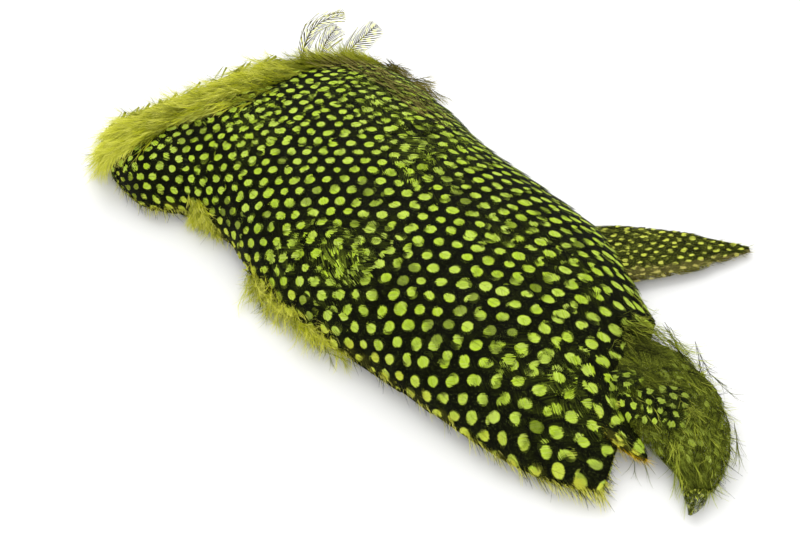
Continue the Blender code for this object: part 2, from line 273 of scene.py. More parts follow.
FORM = CoatForm()
HIDE_LOW = Vector(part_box("skin")[0]) / MM
OUTLINE_LOW = FORM.hide_outline().min(axis=0)
CENTRE = np.array([HIDE_LOW.x - OUTLINE_LOW[0], HIDE_LOW.y - OUTLINE_LOW[1], 0.0])


@dataclass
class Ribbons:
    """Gathers thin ribbons as arrays and joins them in one mesh.

    Each ribbon is a row of points down its left edge and a row down its right. Its pattern is a
    place on the spot pattern for each point, in spacings, and its look holds four shares for each
    point: its tone, how near it is to the ribbon's tip, how much of the spots it shows, and how
    much plain green it has.
    """

    left: list[Array] = field(default_factory=list)
    right: list[Array] = field(default_factory=list)
    left_pattern: list[Array] = field(default_factory=list)
    right_pattern: list[Array] = field(default_factory=list)
    look: list[Array] = field(default_factory=list)

    def add(self, left: Array, right: Array, look: Array, left_pattern: Array | None = None,
            right_pattern: Array | None = None, up: Array = np.array([0.0, 0.0, 1.0])) -> None:
        """Adds ribbons of equal point count.

        Args:
            left: points down the left edges, ribbon by point by three.
            right: points down the right edges.
            look: tone, reach, spots and green, ribbon by point by four.
            left_pattern: places on the spot pattern, ribbon by point by two, or none.
            right_pattern: the same for the right edges.
            up: the way that the ribbons' faces point, for all or for each.
        """
        if left_pattern is None:
            left_pattern = right_pattern = np.zeros(left.shape[:2] + (2,))
        facing = np.cross(right[:, 0] - left[:, 0], left[:, 1] - left[:, 0])
        turned = (facing * up).sum(axis=-1) < 0
        swap = turned[:, None, None]
        self.left.append(np.where(swap, right, left))
        self.right.append(np.where(swap, left, right))
        self.left_pattern.append(np.where(swap, right_pattern, left_pattern))
        self.right_pattern.append(np.where(swap, left_pattern, right_pattern))
        self.look.append(np.broadcast_to(look, left.shape[:2] + (4,)))

    def build(self, name: str, finish: bpy.types.Material) -> bpy.types.Object:
        """Joins all ribbons in one mesh object, in metres and in the frame's place.

        Args:
            name: the piece's name.
            finish: its material.

        Returns:
            The new object.
        """
        points, faces, patterns, looks = [], [], [], []
        count = 0
        gathered = zip(self.left, self.right, self.left_pattern, self.right_pattern, self.look)
        for left, right, left_pattern, right_pattern, look in gathered:
            ribbons, steps, _ = left.shape
            points.append(np.stack([left, right], axis=2).reshape(-1, 3))
            patterns.append(np.stack([left_pattern, right_pattern], axis=2).reshape(-1, 2))
            looks.append(np.repeat(look, 2, axis=1).reshape(-1, 4))
            corner = count + (np.arange(ribbons)[:, None] * steps + np.arange(steps - 1)[None, :]) * 2
            faces.append(np.stack([corner, corner + 1, corner + 3, corner + 2], axis=-1).reshape(-1, 4))
            count += ribbons * steps * 2
        places = (np.concatenate(points) + CENTRE) * MM
        corners = np.concatenate(faces)
        mesh = bpy.data.meshes.new(name)
        mesh.from_pydata(places.tolist(), [], corners.tolist())
        pattern = mesh.uv_layers.new(name="spots")
        pattern.data.foreach_set("uv", np.concatenate(patterns)[corners.ravel()].astype(np.float32).ravel())
        colour = mesh.color_attributes.new(name="barb", type="FLOAT_COLOR", domain="POINT")
        colour.data.foreach_set("color", np.concatenate(looks).astype(np.float32).ravel())
        mesh.polygons.foreach_set("use_smooth", np.ones(len(corners), bool))
        mesh.materials.append(finish)
        made = bpy.data.objects.new(name, mesh)
        bpy.context.scene.collection.objects.link(made)
        LOG.info("%s: %d ribbon faces", name, len(corners))
        return made


def hand_in(piece: bpy.types.Object, slot: str, *stands_for: str) -> None:
    """Puts a piece under the body and hides the frame nodes that it stands for.

    Args:
        piece: the finished piece.
        slot: not used.
        *stands_for: the frame nodes that it replaces.
    """
    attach(piece, BODY)
    if stands_for:
        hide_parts(*stands_for)


def add_node(tree: bpy.types.NodeTree, kind: str, settings: dict | None = None,
             links: dict | None = None) -> bpy.types.Node:
    """Adds a shader node.

    Args:
        tree: the material's or the world's node tree.
        kind: the node's type, such as ShaderNodeMix.
        settings: attributes by name, and input values by name or number.
        links: output sockets or nodes to link, by input name or number.

    Returns:
        The new node.
    """
    node = tree.nodes.new(kind)
    for key, value in (settings or {}).items():
        if isinstance(key, str) and hasattr(node, key):
            setattr(node, key, value)
        else:
            node.inputs[key].default_value = value
    for key, source in (links or {}).items():
        socket = source.outputs[0] if isinstance(source, bpy.types.Node) else source
        tree.links.new(socket, node.inputs[key])
    return node


class Blend(Enum):
    """Ways to put one number with another."""

    ADD = "ADD"
    TAKE = "SUBTRACT"
    TIMES = "MULTIPLY"
    LOWER = "MINIMUM"


def number(tree: bpy.types.NodeTree, way: Blend, first: bpy.types.NodeSocket | float,
           second: bpy.types.NodeSocket | float) -> bpy.types.NodeSocket:
    """Adds a Math node.

    Args:
        tree: the material's node tree.
        way: how the two are put together.
        first: a number or a socket.
        second: a number or a socket.

    Returns:
        The node's output.
    """
    settings: dict = {"operation": way.value}
    links: dict = {}
    for place, value in enumerate((first, second)):
        if isinstance(value, (int, float)):
            settings[place] = value
        else:
            links[place] = value
    return add_node(tree, "ShaderNodeMath", settings, links).outputs[0]


def fade(tree: bpy.types.NodeTree, value: bpy.types.NodeSocket, start: float,
         end: float) -> bpy.types.NodeSocket:
    """Goes smoothly from 0 at start to 1 at end."""
    settings = {"interpolation_type": "SMOOTHSTEP", "From Min": start, "From Max": end}
    return add_node(tree, "ShaderNodeMapRange", settings, {"Value": value}).outputs["Result"]


def tint(tree: bpy.types.NodeTree, share: bpy.types.NodeSocket | float,
         first: bpy.types.NodeSocket | tuple, second: bpy.types.NodeSocket | tuple) -> bpy.types.NodeSocket:
    """Mixes two colours.

    Args:
        tree: the material's node tree.
        share: how much of the second shows, as a number or a socket.
        first: a linear colour or a socket.
        second: a linear colour or a socket.

    Returns:
        The colour output.
    """
    node = add_node(tree, "ShaderNodeMix", {"data_type": "RGBA"})
    colours = [socket for socket in node.inputs if socket.type == "RGBA"]
    for socket, value in zip((node.inputs["Factor"], *colours), (share, first, second)):
        if isinstance(value, (tuple, int, float)):
            socket.default_value = value
        else:
            tree.links.new(value, socket)
    return next(s for s in node.outputs if s.type == "RGBA")


def new_material(name: str, roughness: float, gloss: float) -> tuple[bpy.types.Material, bpy.types.Node]:
    """Starts a material.

    Args:
        name: the material's name.
        roughness: the shader's roughness.
        gloss: the shader's specular level.

    Returns:
        The material and its shader.
    """
    material = bpy.data.materials.new(name)
    material.use_nodes = True
    shader = material.node_tree.nodes["Principled BSDF"]
    shader.inputs["Roughness"].default_value = roughness
    shader.inputs["Specular IOR Level"].default_value = gloss
    LOG.info("material %s", name)
    return material, shader


@dataclass(frozen=True)
class SpottedFeather:
    """Contour feather barbs: black keratin with pale spots that took the yellow-green dye.

    The eye sees satin black with a faint grey-green mottle, and round spots of clear
    yellow-green, a little darker in the middle, with pale streaks on some barbs painted in as highlight.
    """

    name: str = "dyed_guinea_fowl_vane"
    ground: str = "#0C0D05"
    mottle: str = "#4A5426"
    barb_green: str = "#80922A"
    spot: str = "#BEDB38"
    spot_core: str = "#A2C22A"
    # Painted highlight: the pale colour of the streaks of light that glint along barbs in the spots
    spot_painted_highlight: str = "#E2F08A"
    rim: str = "#E6E04C"
    rim_share: float = 0.05
    spot_radius: float = 0.275
    spot_edge: float = 0.035
    swell: float = 0.09
    warp: float = 0.09
    mottle_from: float = 0.50
    mottle_to: float = 0.72
    roughness: float = 0.6

    def nearest_spot(self, tree: bpy.types.NodeTree, place: bpy.types.NodeSocket) -> bpy.types.NodeSocket:
        """Gives the distance to the nearest spot centre, on a pattern of two crossed grids.

        Args:
            tree: the material's node tree.
            place: places on the pattern, in spacings.

        Returns:
            The distance, in spacings.
        """
        row = math.sqrt(3.0)
        nearest = None
        for start in ((0.0, 0.0, 0.0), (0.5, row / 2, 0.0)):
            moved = place
            for operation, by in (("ADD", start), ("DIVIDE", (1.0, row, 1.0)), ("FRACTION", None),
                                  ("SUBTRACT", (0.5, 0.5, 0.0)), ("MULTIPLY", (1.0, row, 0.0))):
                settings = {"operation": operation} if by is None else {"operation": operation, 1: by}
                moved = add_node(tree, "ShaderNodeVectorMath", settings, {0: moved}).outputs[0]
            length = add_node(tree, "ShaderNodeVectorMath", {"operation": "LENGTH"}, {0: moved})
            far = length.outputs["Value"]
            nearest = far if nearest is None else number(tree, Blend.LOWER, nearest, far)
        return nearest

    def make(self) -> bpy.types.Material:
        """Builds the material."""
        material, shader = new_material(self.name, self.roughness, BARB_GLOSS)
        tree = material.node_tree
        place = add_node(tree, "ShaderNodeUVMap", {"uv_map": "spots"}).outputs["UV"]
        barb = add_node(tree, "ShaderNodeAttribute", {"attribute_name": "barb"})
        shares = add_node(tree, "ShaderNodeSeparateColor", None, {0: barb.outputs["Color"]})
        tone, reach, spots = shares.outputs[0], shares.outputs[1], shares.outputs[2]

        drift = add_node(tree, "ShaderNodeTexNoise", {"Scale": 0.75, "Detail": 1.0}, {"Vector": place})
        half = add_node(tree, "ShaderNodeVectorMath", {"operation": "SUBTRACT", 1: (0.5, 0.5, 0.5)},
                        {0: drift.outputs["Color"]})
        push = add_node(tree, "ShaderNodeVectorMath", {"operation": "SCALE", "Scale": self.warp * 2},
                        {0: half})
        warped = add_node(tree, "ShaderNodeVectorMath", {"operation": "ADD"}, {0: place, 1: push})
        distance = self.nearest_spot(tree, warped.outputs[0])
        swell = add_node(tree, "ShaderNodeTexNoise", {"Scale": 0.9, "Detail": 0.0}, {"Vector": place})
        swollen = number(tree, Blend.TIMES, swell.outputs["Fac"], self.swell * 2)
        sized = number(tree, Blend.TAKE, distance, swollen)
        sized = number(tree, Blend.ADD, sized, self.swell)
        inside = fade(tree, sized, self.spot_radius + self.spot_edge, self.spot_radius - self.spot_edge)
        shown = number(tree, Blend.TIMES, inside, spots)

        speckle = add_node(tree, "ShaderNodeTexNoise", {"Scale": 9.0, "Detail": 3.0, "Roughness": 0.7},
                           {"Vector": place})
        streak = fade(tree, speckle.outputs["Fac"], self.mottle_from, self.mottle_to)
        streak = number(tree, Blend.TIMES, streak, tone)
        ground = tint(tree, streak, linear(self.ground), linear(self.mottle))
        ground = tint(tree, barb.outputs["Alpha"], ground, linear(self.barb_green))
        core = number(tree, Blend.TIMES, fade(tree, sized, 0.20, 0.05), 0.55)
        colour = tint(tree, core, linear(self.spot), linear(self.spot_core))
        # Painted highlight: barbs with a higher tone get pale streaks in their spots, standing in for light
        # glinting along them
        colour = tint(tree, number(tree, Blend.TIMES, tone, 0.5), colour, linear(self.spot_painted_highlight))
        colour = tint(tree, number(tree, Blend.TIMES, reach, 0.7), colour, linear(self.rim))
        whole = tint(tree, shown, ground, colour)
        edge = number(tree, Blend.TIMES, fade(tree, reach, 0.6, 1.0), self.rim_share)
        whole = tint(tree, edge, whole, linear(self.rim))
        tree.links.new(whole, shader.inputs["Base Color"])
        return material


@dataclass(frozen=True)
class DyedFibre:
    """Down and loose barbs: fine matte fibres, darker at the root and paler and brighter at the tip."""

    name: str
    root: str
    middle: str
    tip: str
    other: str
    roughness: float = 0.8

    def make(self) -> bpy.types.Material:
        """Builds the material."""
        material, shader = new_material(self.name, self.roughness, BARB_GLOSS)
        tree = material.node_tree
        barb = add_node(tree, "ShaderNodeAttribute", {"attribute_name": "barb"})
        shares = add_node(tree, "ShaderNodeSeparateColor", None, {0: barb.outputs["Color"]})
        tone, reach, other = shares.outputs[0], shares.outputs[1], shares.outputs[2]
        low = tint(tree, fade(tree, reach, 0.0, 0.5), linear(self.root), linear(self.middle))
        high = tint(tree, fade(tree, reach, 0.45, 1.0), low, linear(self.tip))
        toned = tint(tree, number(tree, Blend.TIMES, tone, 0.6), high, linear(self.tip))
        whole = tint(tree, other, toned, linear(self.other))
        tree.links.new(whole, shader.inputs["Base Color"])
        return material


@dataclass(frozen=True)
class UnderFeather:
    """The closed mass of feather under the coat's tips: dull black with a green-grey grain."""

    name: str = "under_feather_keratin"
    dark: str = "#12130C"
    light: str = "#3C4420"
    grain: float = 1.2
    roughness: float = 0.7

    def make(self) -> bpy.types.Material:
        """Builds the material."""
        material, shader = new_material(self.name, self.roughness, BARB_GLOSS)
        tree = material.node_tree
        place = add_node(tree, "ShaderNodeTexCoord").outputs["Object"]
        grain = add_node(tree, "ShaderNodeTexNoise", {"Scale": 1 / (self.grain * MM), "Detail": 3.0},
                         {"Vector": place})
        share = fade(tree, grain.outputs["Fac"], 0.45, 0.75)
        whole = tint(tree, share, linear(self.dark), linear(self.light))
        tree.links.new(whole, shader.inputs["Base Color"])
        return material


@dataclass(frozen=True)
class DriedHide:
    """Air-dried skin: thin parchment that took some of the dye, with quill pits in rows."""

    name: str = "air_dried_parchment"
    light: str = "#C9B765"
    dark: str = "#8C7A34"
    pit_spacing: float = 8.0
    stain_size: float = 30.0
    roughness: float = 0.62

    def make(self) -> bpy.types.Material:
        """Builds the material."""
        material, shader = new_material(self.name, self.roughness, HIDE_GLOSS)
        tree = material.node_tree
        place = add_node(tree, "ShaderNodeTexCoord").outputs["Object"]
        stains = {"Scale": 1 / (self.stain_size * MM), "Detail": 6.0, "Roughness": 0.6}
        stain = add_node(tree, "ShaderNodeTexNoise", stains, {"Vector": place}).outputs["Fac"]
        rows = {"Scale": 1 / (self.pit_spacing * MM), "Randomness": 0.35}
        pits = add_node(tree, "ShaderNodeTexVoronoi", rows, {"Vector": place}).outputs["Distance"]
        pit = fade(tree, pits, 0.20, 0.08)
        base = tint(tree, fade(tree, stain, 0.35, 0.7), linear(self.light), linear(self.dark))
        whole = tint(tree, number(tree, Blend.TIMES, pit, 0.6), base, linear(self.dark))
        tree.links.new(whole, shader.inputs["Base Color"])
        bump = add_node(tree, "ShaderNodeBump", {"Strength": 0.5, "Distance": 0.4 * MM}, {"Height": pit})
        tree.links.new(bump.outputs[0], shader.inputs["Normal"])
        return material


@dataclass(frozen=True)
class Vane:
    """The sizes of one contour feather, in millimetres.

    Barbs leave the shaft from the share `bare` on, and end on a rounded outline. A gap is the share
    of the way to the next barb that stays open.
    """

    length: float
    half_width: float
    barbs: int = 34
    steps: int = 4
    bare: float = 0.25
    lead: float = 0.54
    past_tip: float = 1.5
    roundness: float = 0.8
    bow: float = 0.07
    root_gap: float = 0.10
    tip_gap: float = 0.45
    lift: float = 2.4
    camber: float = 1.6
    split_turn: float = 5.0
    barb_turn: float = 0.8
    barb_shift: float = 0.25
    barb_lift: float = 0.35
    splits: float = 2.0

    def barb_lines(self, side: int, draw: np.random.Generator, ruffle: float) -> tuple[Array, ...]:
        """Works out the barbs of one side in the feather's own plane.

        Args:
            side: 1 for the far side of the shaft, -1 for the near.
            draw: the random source.
            ruffle: 0 for a neat vane to 1 for one whose barbs have come apart.

        Returns:
            Bent points, their places before bending, each barb's slip along itself, and heights
            above the plane, each barb by step.
        """
        u = np.linspace(0.0, 1.0, self.barbs + 1)
        q = np.linspace(0.0, 1.0, self.steps)
        base = self.length * (self.bare + (1 - self.bare) * u)
        shoulder = self.length * (self.bare + self.lead)
        tip = self.length + self.past_tip
        angle = u * math.pi / 2
        end_a = shoulder + (tip - shoulder) * np.sin(angle)
        end_b = self.half_width * np.cos(angle) ** self.roundness
        step_a = (end_a - base)[:, None]
        step_b = end_b[:, None]
        bow = self.bow * np.sin(q * math.pi)[None, :]
        a = base[:, None] + step_a * q[None, :] - step_b * bow
        b = step_b * q[None, :] + step_a * bow
        long = np.hypot(step_a, step_b)
        cuts = np.cumsum(draw.random(self.barbs + 1) < self.splits / self.barbs)
        groups = int(cuts[-1]) + 1
        loose = 0.15 + 2.2 * ruffle
        turn = np.radians(draw.normal(0.0, self.split_turn * loose, groups))[cuts]
        turn = turn + np.radians(draw.normal(0.0, self.barb_turn * (0.2 + 7.0 * ruffle), self.barbs + 1))
        lift = draw.normal(0.0, self.barb_lift * loose, groups)[cuts]
        lift = lift + draw.normal(0.0, 0.25 * ruffle + 0.03, self.barbs + 1)
        turn = np.minimum(turn, 0.6)[:, None] * q[None, :]
        da, db = a - base[:, None], b
        bent_a = base[:, None] + da * np.cos(turn) - db * np.sin(turn)
        bent_b = np.maximum(db * np.cos(turn) + da * np.sin(turn), 0.0)
        shift = draw.normal(0.0, self.barb_shift * (0.3 + 4.0 * ruffle), self.barbs + 1)[:, None]
        push = -np.stack([step_a, step_b * side], axis=-1) * (shift / long)[..., None]
        height = lift[:, None] * q[None, :] ** 1.3
        bent = np.stack([bent_a, bent_b * side], axis=-1)
        flat = np.stack([a, b * side], axis=-1)
        return bent, flat, push, height

    def strips(self, draw: np.random.Generator, ruffle: float) -> Iterator[tuple[Array, ...]]:
        """Works out the barbs of both sides as ribbons in the feather's plane.

        Args:
            draw: the random source.
            ruffle: 0 for a neat vane to 1 for one whose barbs have come apart.

        Yields:
            For each side: left and right edges, their places on the neat vane, heights, and the
            shares of the way from shaft to tip.
        """
        q = np.linspace(0.0, 1.0, self.steps)
        for side in (-1, 1):
            bent, flat, push, height = self.barb_lines(side, draw, ruffle)
            open_share = self.root_gap + (self.tip_gap - self.root_gap) * q**2
            open_share = np.clip(open_share + 0.25 * ruffle * q, 0.0, 0.75)[None, :, None]
            last_gap = np.where(q == 1.0, 0.85, 0.0)[None, :, None]
            closed = 1 - np.maximum(open_share, last_gap)
            left, right = bent[:-1], bent[:-1] + (bent[1:] - bent[:-1]) * closed
            left_flat = flat[:-1] + push[:-1]
            right_flat = left_flat + (flat[1:] - flat[:-1]) * closed
            step = flat[1:, -1] - flat[:-1, -1]
            keep = np.linalg.norm(step, axis=-1) > 0
            yield left[keep], right[keep], left_flat[keep], right_flat[keep], height[:-1][keep], q


Patch = tuple[float, float, float, float]


def patch_value(patches: tuple[Patch, ...], x: Array, y: Array) -> Array:
    """Adds up soft round patches in plan.

    Args:
        patches: each patch's x, y, radius and strength.
        x: places along x.
        y: places along y.

    Returns:
        The patches' sum at each place.
    """
    value = np.zeros(np.shape(x))
    for px, py, radius, strength in patches:
        value = value + strength * np.exp(-((x - px) ** 2 + (y - py) ** 2) / (2 * radius**2))
    return value


@dataclass
class SpotMap:
    """Places on a form, counted in spot spacings along its length and across it.

    The length is the straight way in plan from the form's start to its end, so the pattern stays even
    where the form bends. The spacing changes from start to end. The pattern's rows are turned from
    that way, and lie closer together than the spots in a row by the squeeze, given at places across.
    At the form's start the squeeze is start_squeeze times that.
    """

    form: Form
    spacing: tuple[float, float]
    squeeze: tuple[tuple[float, float], ...]
    row_turn: float
    steps: int = 120
    start_squeeze: float = 0.84
    start_share: float = 0.55

    def __post_init__(self) -> None:
        """Measures the form once on a grid."""
        share = np.linspace(0.0, 1.0, self.steps + 1)
        grid = self.form.point(share[:, None], (share * 2 - 1)[None, :])
        pitch = mix(*self.spacing, share)
        line = grid[:, self.steps // 2]
        ahead = unit((line[-1] - line[0]) * np.array([1.0, 1.0, 0.0]))
        left = np.array([-ahead[1], ahead[0], 0.0])
        start = mix(self.start_squeeze, 1.0, np.clip(share / self.start_share, 0.0, 1.0))
        middle = start * self.squeeze_at(np.array(0.0))
        pace = np.diff(line, axis=0) / ((pitch[1:] + pitch[:-1]) / 2)[:, None]
        squeezed_pace = pace * (2 / (middle[1:] + middle[:-1]))[:, None]
        step = np.diff(grid, axis=1) / pitch[:, None, None]
        slant = step @ ahead
        side = np.linalg.norm(step - ahead * slant[..., None], axis=-1)
        squeeze = start[:, None] * self.squeeze_at((share[1:] + share[:-1]) - 1)[None, :]
        self.tables = (
            self.from_start(pace @ ahead) + self.from_middle(slant),
            self.from_start(squeezed_pace @ ahead) + self.from_middle(slant / middle[:, None]),
            self.from_start(pace @ left) + self.from_middle(side),
            self.from_start(squeezed_pace @ left) + self.from_middle(side / squeeze),
        )

    def squeeze_at(self, across: Array) -> Array:
        """Gives the squeeze at places across."""
        places, values = np.array(self.squeeze).T
        return np.interp(across, places, values)

    def from_start(self, lengths: Array) -> Array:
        """Adds lengths up along the form, counted from its start."""
        return np.concatenate([[0.0], np.cumsum(lengths)])[:, None]

    def from_middle(self, widths: Array) -> Array:
        """Adds widths up across the form, counted from its middle line."""
        total = np.concatenate([np.zeros((self.steps + 1, 1)), np.cumsum(widths, axis=1)], axis=1)
        return total - total[:, self.steps // 2][:, None]

    def at(self, along: Array, across: Array) -> Array:
        """Gives places on the pattern for places on the form.

        Args:
            along: places along the form, 0 to 1.
            across: places across it, -1 to 1.

        Returns:
            Places on the pattern, in spacings, with the two values last.
        """
        a = along * self.steps
        b = (across + 1) / 2 * self.steps
        i = np.clip(a.astype(int), 0, self.steps - 1)
        j = np.clip(b.astype(int), 0, self.steps - 1)
        s, t = a - i, b - j
        u, u_squeezed, v, v_squeezed = (
            mix(mix(table[i, j], table[i, j + 1], t), mix(table[i + 1, j], table[i + 1, j + 1], t), s)
            for table in self.tables
        )
        turn = math.radians(self.row_turn)
        return np.stack([u * math.cos(turn) + v * math.sin(turn),
                         v_squeezed * math.cos(turn) - u_squeezed * math.sin(turn)], axis=-1)


@dataclass(frozen=True)
class Plumage:
    """How a field's feathers change from its start to its end, in millimetres."""

    row_step: tuple[float, float] = (4.8, 8.5)
    side_step: tuple[float, float] = (6.0, 11.0)
    length: tuple[float, float] = (19.0, 36.0)
    half_width: tuple[float, float] = (6.0, 12.0)
    spacing: tuple[float, float] = (4.8, 9.9)
    barbs: tuple[int, int] = (26, 34)
    lift: tuple[float, float] = (1.6, 2.8)
    side_limit: float = 0.97
    outward: float = 9.0
    lean: float = 0.0
    row_turn: float = 0.0
    yaw: float = 1.2
    ruffle: float = 0.04
    phase_noise: float = 0.015
    squeeze: tuple[tuple[float, float], ...] = ((0.0, 0.8),)
    dim_share: float = 0.12
    bare: float = 0.25
    root_gap: float = 0.10
    tip_gap: float = 0.45
    rise: float = 0.9
    last_row: float = 0.96
    past_end: float = 3.0
    least_length: float = 12.0
    least_columns: int = 3
    yellow_edge: float = 0.78
    shaft_yellow: float = 0.0
    shaft_width: float = 0.08


@dataclass
class FeatherField:
    """Overlapping rows of contour feathers over a form."""

    form: Form
    finish: bpy.types.Material
    plumage: Plumage
    pieces: tuple[tuple[str, float], ...]
    slot: str
    stands_for: tuple[str, ...] = ()
    ruffled: tuple[Patch, ...] = ()
    spotted: tuple[Patch, ...] = ()
    least_shown: float = 0.0
    seed: int = 11

    def __post_init__(self) -> None:
        """Measures the form for the spots."""
        self.spots = SpotMap(self.form, self.plumage.spacing, self.plumage.squeeze, self.plumage.row_turn)

    def rows(self) -> Iterator[float]:
        """Yields each row's place along the field."""
        along = 0.0
        while along < self.plumage.last_row:
            yield along
            run, _, _ = self.form.tangents(np.array(along), np.array(0.0))
            along += mix(*self.plumage.row_step, along) / float(np.linalg.norm(run))

    @staticmethod
    def plane_units(run: Array, side: Array, normal: Array, turn: float) -> Array:
        """Gives the matrix from a feather's plane to places along and across the form.

        Args:
            run: the form's change per unit along.
            side: the form's change per unit across.
            normal: the form's outward direction.
            turn: the feather's turn from the way along, in radians.

        Returns:
            A matrix of two by two.
        """
        ahead = unit(run)
        sideways = unit(np.cross(normal, ahead))
        forward = ahead * math.cos(turn) + sideways * math.sin(turn)
        beside = sideways * math.cos(turn) - ahead * math.sin(turn)
        grid = np.linalg.inv(np.array([[run @ run, run @ side], [run @ side, side @ side]]))
        return grid @ np.array([[run @ forward, run @ beside], [side @ forward, side @ beside]])

    def feather(self, ribbons: Ribbons, along: float, across: float, draw: np.random.Generator) -> None:
        """Adds one feather, rooted at a place on the form.

        Args:
            ribbons: where its ribbons go.
            along: its root's place along the form.
            across: its root's place across the form.
            draw: the random source.
        """
        sizes = self.plumage
        root_a, root_b = np.array(along), np.array(across)
        run, side, normal = self.form.tangents(root_a, root_b)
        root = self.form.point(root_a, root_b)
        ruffle = sizes.ruffle + float(patch_value(self.ruffled, root[0], root[1]))
        ruffle = min(ruffle * draw.uniform(0.5, 1.4), 1.0)
        inward = float(np.clip((across + 0.95) / 0.7, 0.0, 1.0)) * min(along / 0.12, 1.0)
        fanned = sizes.outward * abs(across) ** 3 * math.copysign(1, across)
        neat = math.radians(fanned + sizes.lean * inward)
        turned = neat + math.radians(draw.normal(0.0, sizes.yaw + 9.0 * ruffle))
        neat_units, laid_units = (self.plane_units(run, side, normal, turn) for turn in (neat, turned))
        scale = draw.uniform(0.92, 1.08)
        length = mix(*sizes.length, along) * scale
        room = (1.0 - along) * float(np.linalg.norm(run)) + sizes.past_end
        vane = Vane(
            length=min(length, max(room, sizes.least_length)),
            half_width=mix(*sizes.half_width, along) * scale,
            barbs=int(mix(*sizes.barbs, along)),
            bare=0.02 if along < 0.03 else sizes.bare,
            lift=mix(*sizes.lift, along),
            root_gap=sizes.root_gap,
            tip_gap=sizes.tip_gap,
        )
        noise = draw.normal(0.0, sizes.phase_noise + 0.35 * ruffle, 2)
        roll = draw.normal(0.0, 0.02 + 0.10 * ruffle)
        shown = float(np.clip(patch_value(self.spotted, root[0], root[1]), 0, 1)) if self.spotted else 1.0
        if shown < self.least_shown:
            return
        shown *= draw.uniform(0.35, 0.7) if draw.random() < sizes.dim_share else 1.0

        def place(plane: Array, height: Array) -> Array:
            """Lays points of the feather's plane on the form."""
            units = plane @ laid_units.T
            a, b = along + units[..., 0], across + units[..., 1]
            on_form = self.form.point(a, b)
            _, _, out = self.form.tangents(a, b)
            share = plane[..., 0] / vane.length
            rise = sizes.rise + vane.lift * share + height + roll * plane[..., 1]
            rise = rise - vane.camber * (plane[..., 1] / vane.half_width) ** 2 * 0.5
            return on_form + out * np.maximum(rise, 0.25)[..., None]

        def pattern(plane: Array) -> Array:
            """Reads the spot pattern where the feather would lie if it were neat."""
            units = plane @ neat_units.T
            return self.spots.at(along + units[..., 0], across + units[..., 1]) + noise

        tone_base = draw.uniform(0.1, 0.6)
        near_edge = float(np.clip((-across - sizes.yellow_edge) / 0.2, 0.0, 1.0))
        for left, right, left_flat, right_flat, height, q in vane.strips(draw, ruffle):
            tone = np.clip(tone_base + draw.normal(0.0, 0.22, len(left)), 0.0, 1.0)
            dull = np.clip(1.0 - np.abs(draw.normal(0.0, 0.05 + 0.35 * ruffle, len(left))), 0.15, 1.0)
            green = np.clip(draw.normal(0.5 * ruffle, 0.4 * ruffle, len(left)), 0.0, 1.0)
            look = np.stack([
                np.broadcast_to(tone[:, None], left.shape[:2]),
                np.full(left.shape[:2], near_edge),
                np.broadcast_to(dull[:, None] * shown, left.shape[:2]),
                green[:, None] * q[None, :],
            ], axis=-1)
            ribbons.add(place(left, height), place(right, height), look, pattern(left_flat),
                        pattern(right_flat), up=normal)
        self.shaft(ribbons, place, vane, normal)

    def shaft(self, ribbons: Ribbons, place: Callable[[Array, Array], Array], vane: Vane,
              normal: Array) -> None:
        """Adds the feather's shaft as one narrow ribbon that tapers to the tip.

        Args:
            ribbons: where its ribbon goes.
            place: lays points of the feather's plane on the form.
            vane: the feather's sizes.
            normal: the form's outward direction at the root.
        """
        s = np.linspace(vane.bare, 0.97, 6)
        width = self.plumage.shaft_width * mix(1.0, 0.3, (s - s[0]) / (s[-1] - s[0]))
        line = np.stack([s * vane.length, np.zeros_like(s)], axis=-1)
        offset = np.stack([np.zeros_like(s), width], axis=-1)
        rise = np.full(len(s), 0.22)
        look = np.broadcast_to(np.array([0.1, self.plumage.shaft_yellow, 0.0, 0.0]), (1, len(s), 4))
        ribbons.add(place(line - offset, rise)[None], place(line + offset, rise)[None], look, up=normal)

    def build_one(self, seed: int) -> None:
        """Builds a single feather from the form's start to its end."""
        ribbons = Ribbons()
        self.feather(ribbons, 0.0, 0.0, np.random.default_rng(seed))
        hand_in(ribbons.build(self.pieces[0][0], self.finish), self.slot, *self.stands_for)

    def build(self) -> None:
        """Builds all feathers, one piece for each stretch of the form."""
        draw = np.random.default_rng(self.seed)
        sizes = self.plumage
        gathered = {name: Ribbons() for name, _ in self.pieces}
        count = 0
        for row, along in enumerate(self.rows()):
            name = next(n for n, end in self.pieces if along < end)
            place = np.linspace(-1.0, 1.0, 121)
            line = self.form.point(np.full_like(place, along), place)
            arc = np.concatenate([[0.0], np.cumsum(np.linalg.norm(np.diff(line, axis=0), axis=1))])
            step = mix(*sizes.side_step, along)
            columns = max(sizes.least_columns, round(arc[-1] / step))
            for k in range(columns):
                share = (k + 0.5 + 0.25 * (1 if row % 2 else -1)) / columns
                at = arc[-1] * share + draw.normal(0.0, 0.08 * step)
                across = float(np.clip(np.interp(at, arc, place), -sizes.side_limit, sizes.side_limit))
                self.feather(gathered[name], max(along + draw.normal(0.0, 0.004), 0.0), across, draw)
                count += 1
        for name, ribbons in gathered.items():
            hand_in(ribbons.build(name, self.finish), self.slot, *self.stands_for)
        LOG.info("%s: %d feathers", self.pieces[0][0], count)


Guide = tuple[tuple[float, float, float], tuple[float, float, float]]


def flow(guides: tuple[Guide, ...], points: Array) -> Array:
    """Gives the way that fibres run at points.

    Args:
        guides: places, each with the direction that fibres have there.
        points: where to read the way.

    Returns:
        Directions at length one.
    """
    places = np.array([g[0] for g in guides])
    ways = unit(np.array([g[1] for g in guides]))
    weight = 1 / (((points[:, None, :] - places[None, :, :]) ** 2).sum(axis=-1) + 4.0) ** 1.5
    return unit((weight[:, :, None] * ways[None, :, :]).sum(axis=1) / weight.sum(axis=1)[:, None])


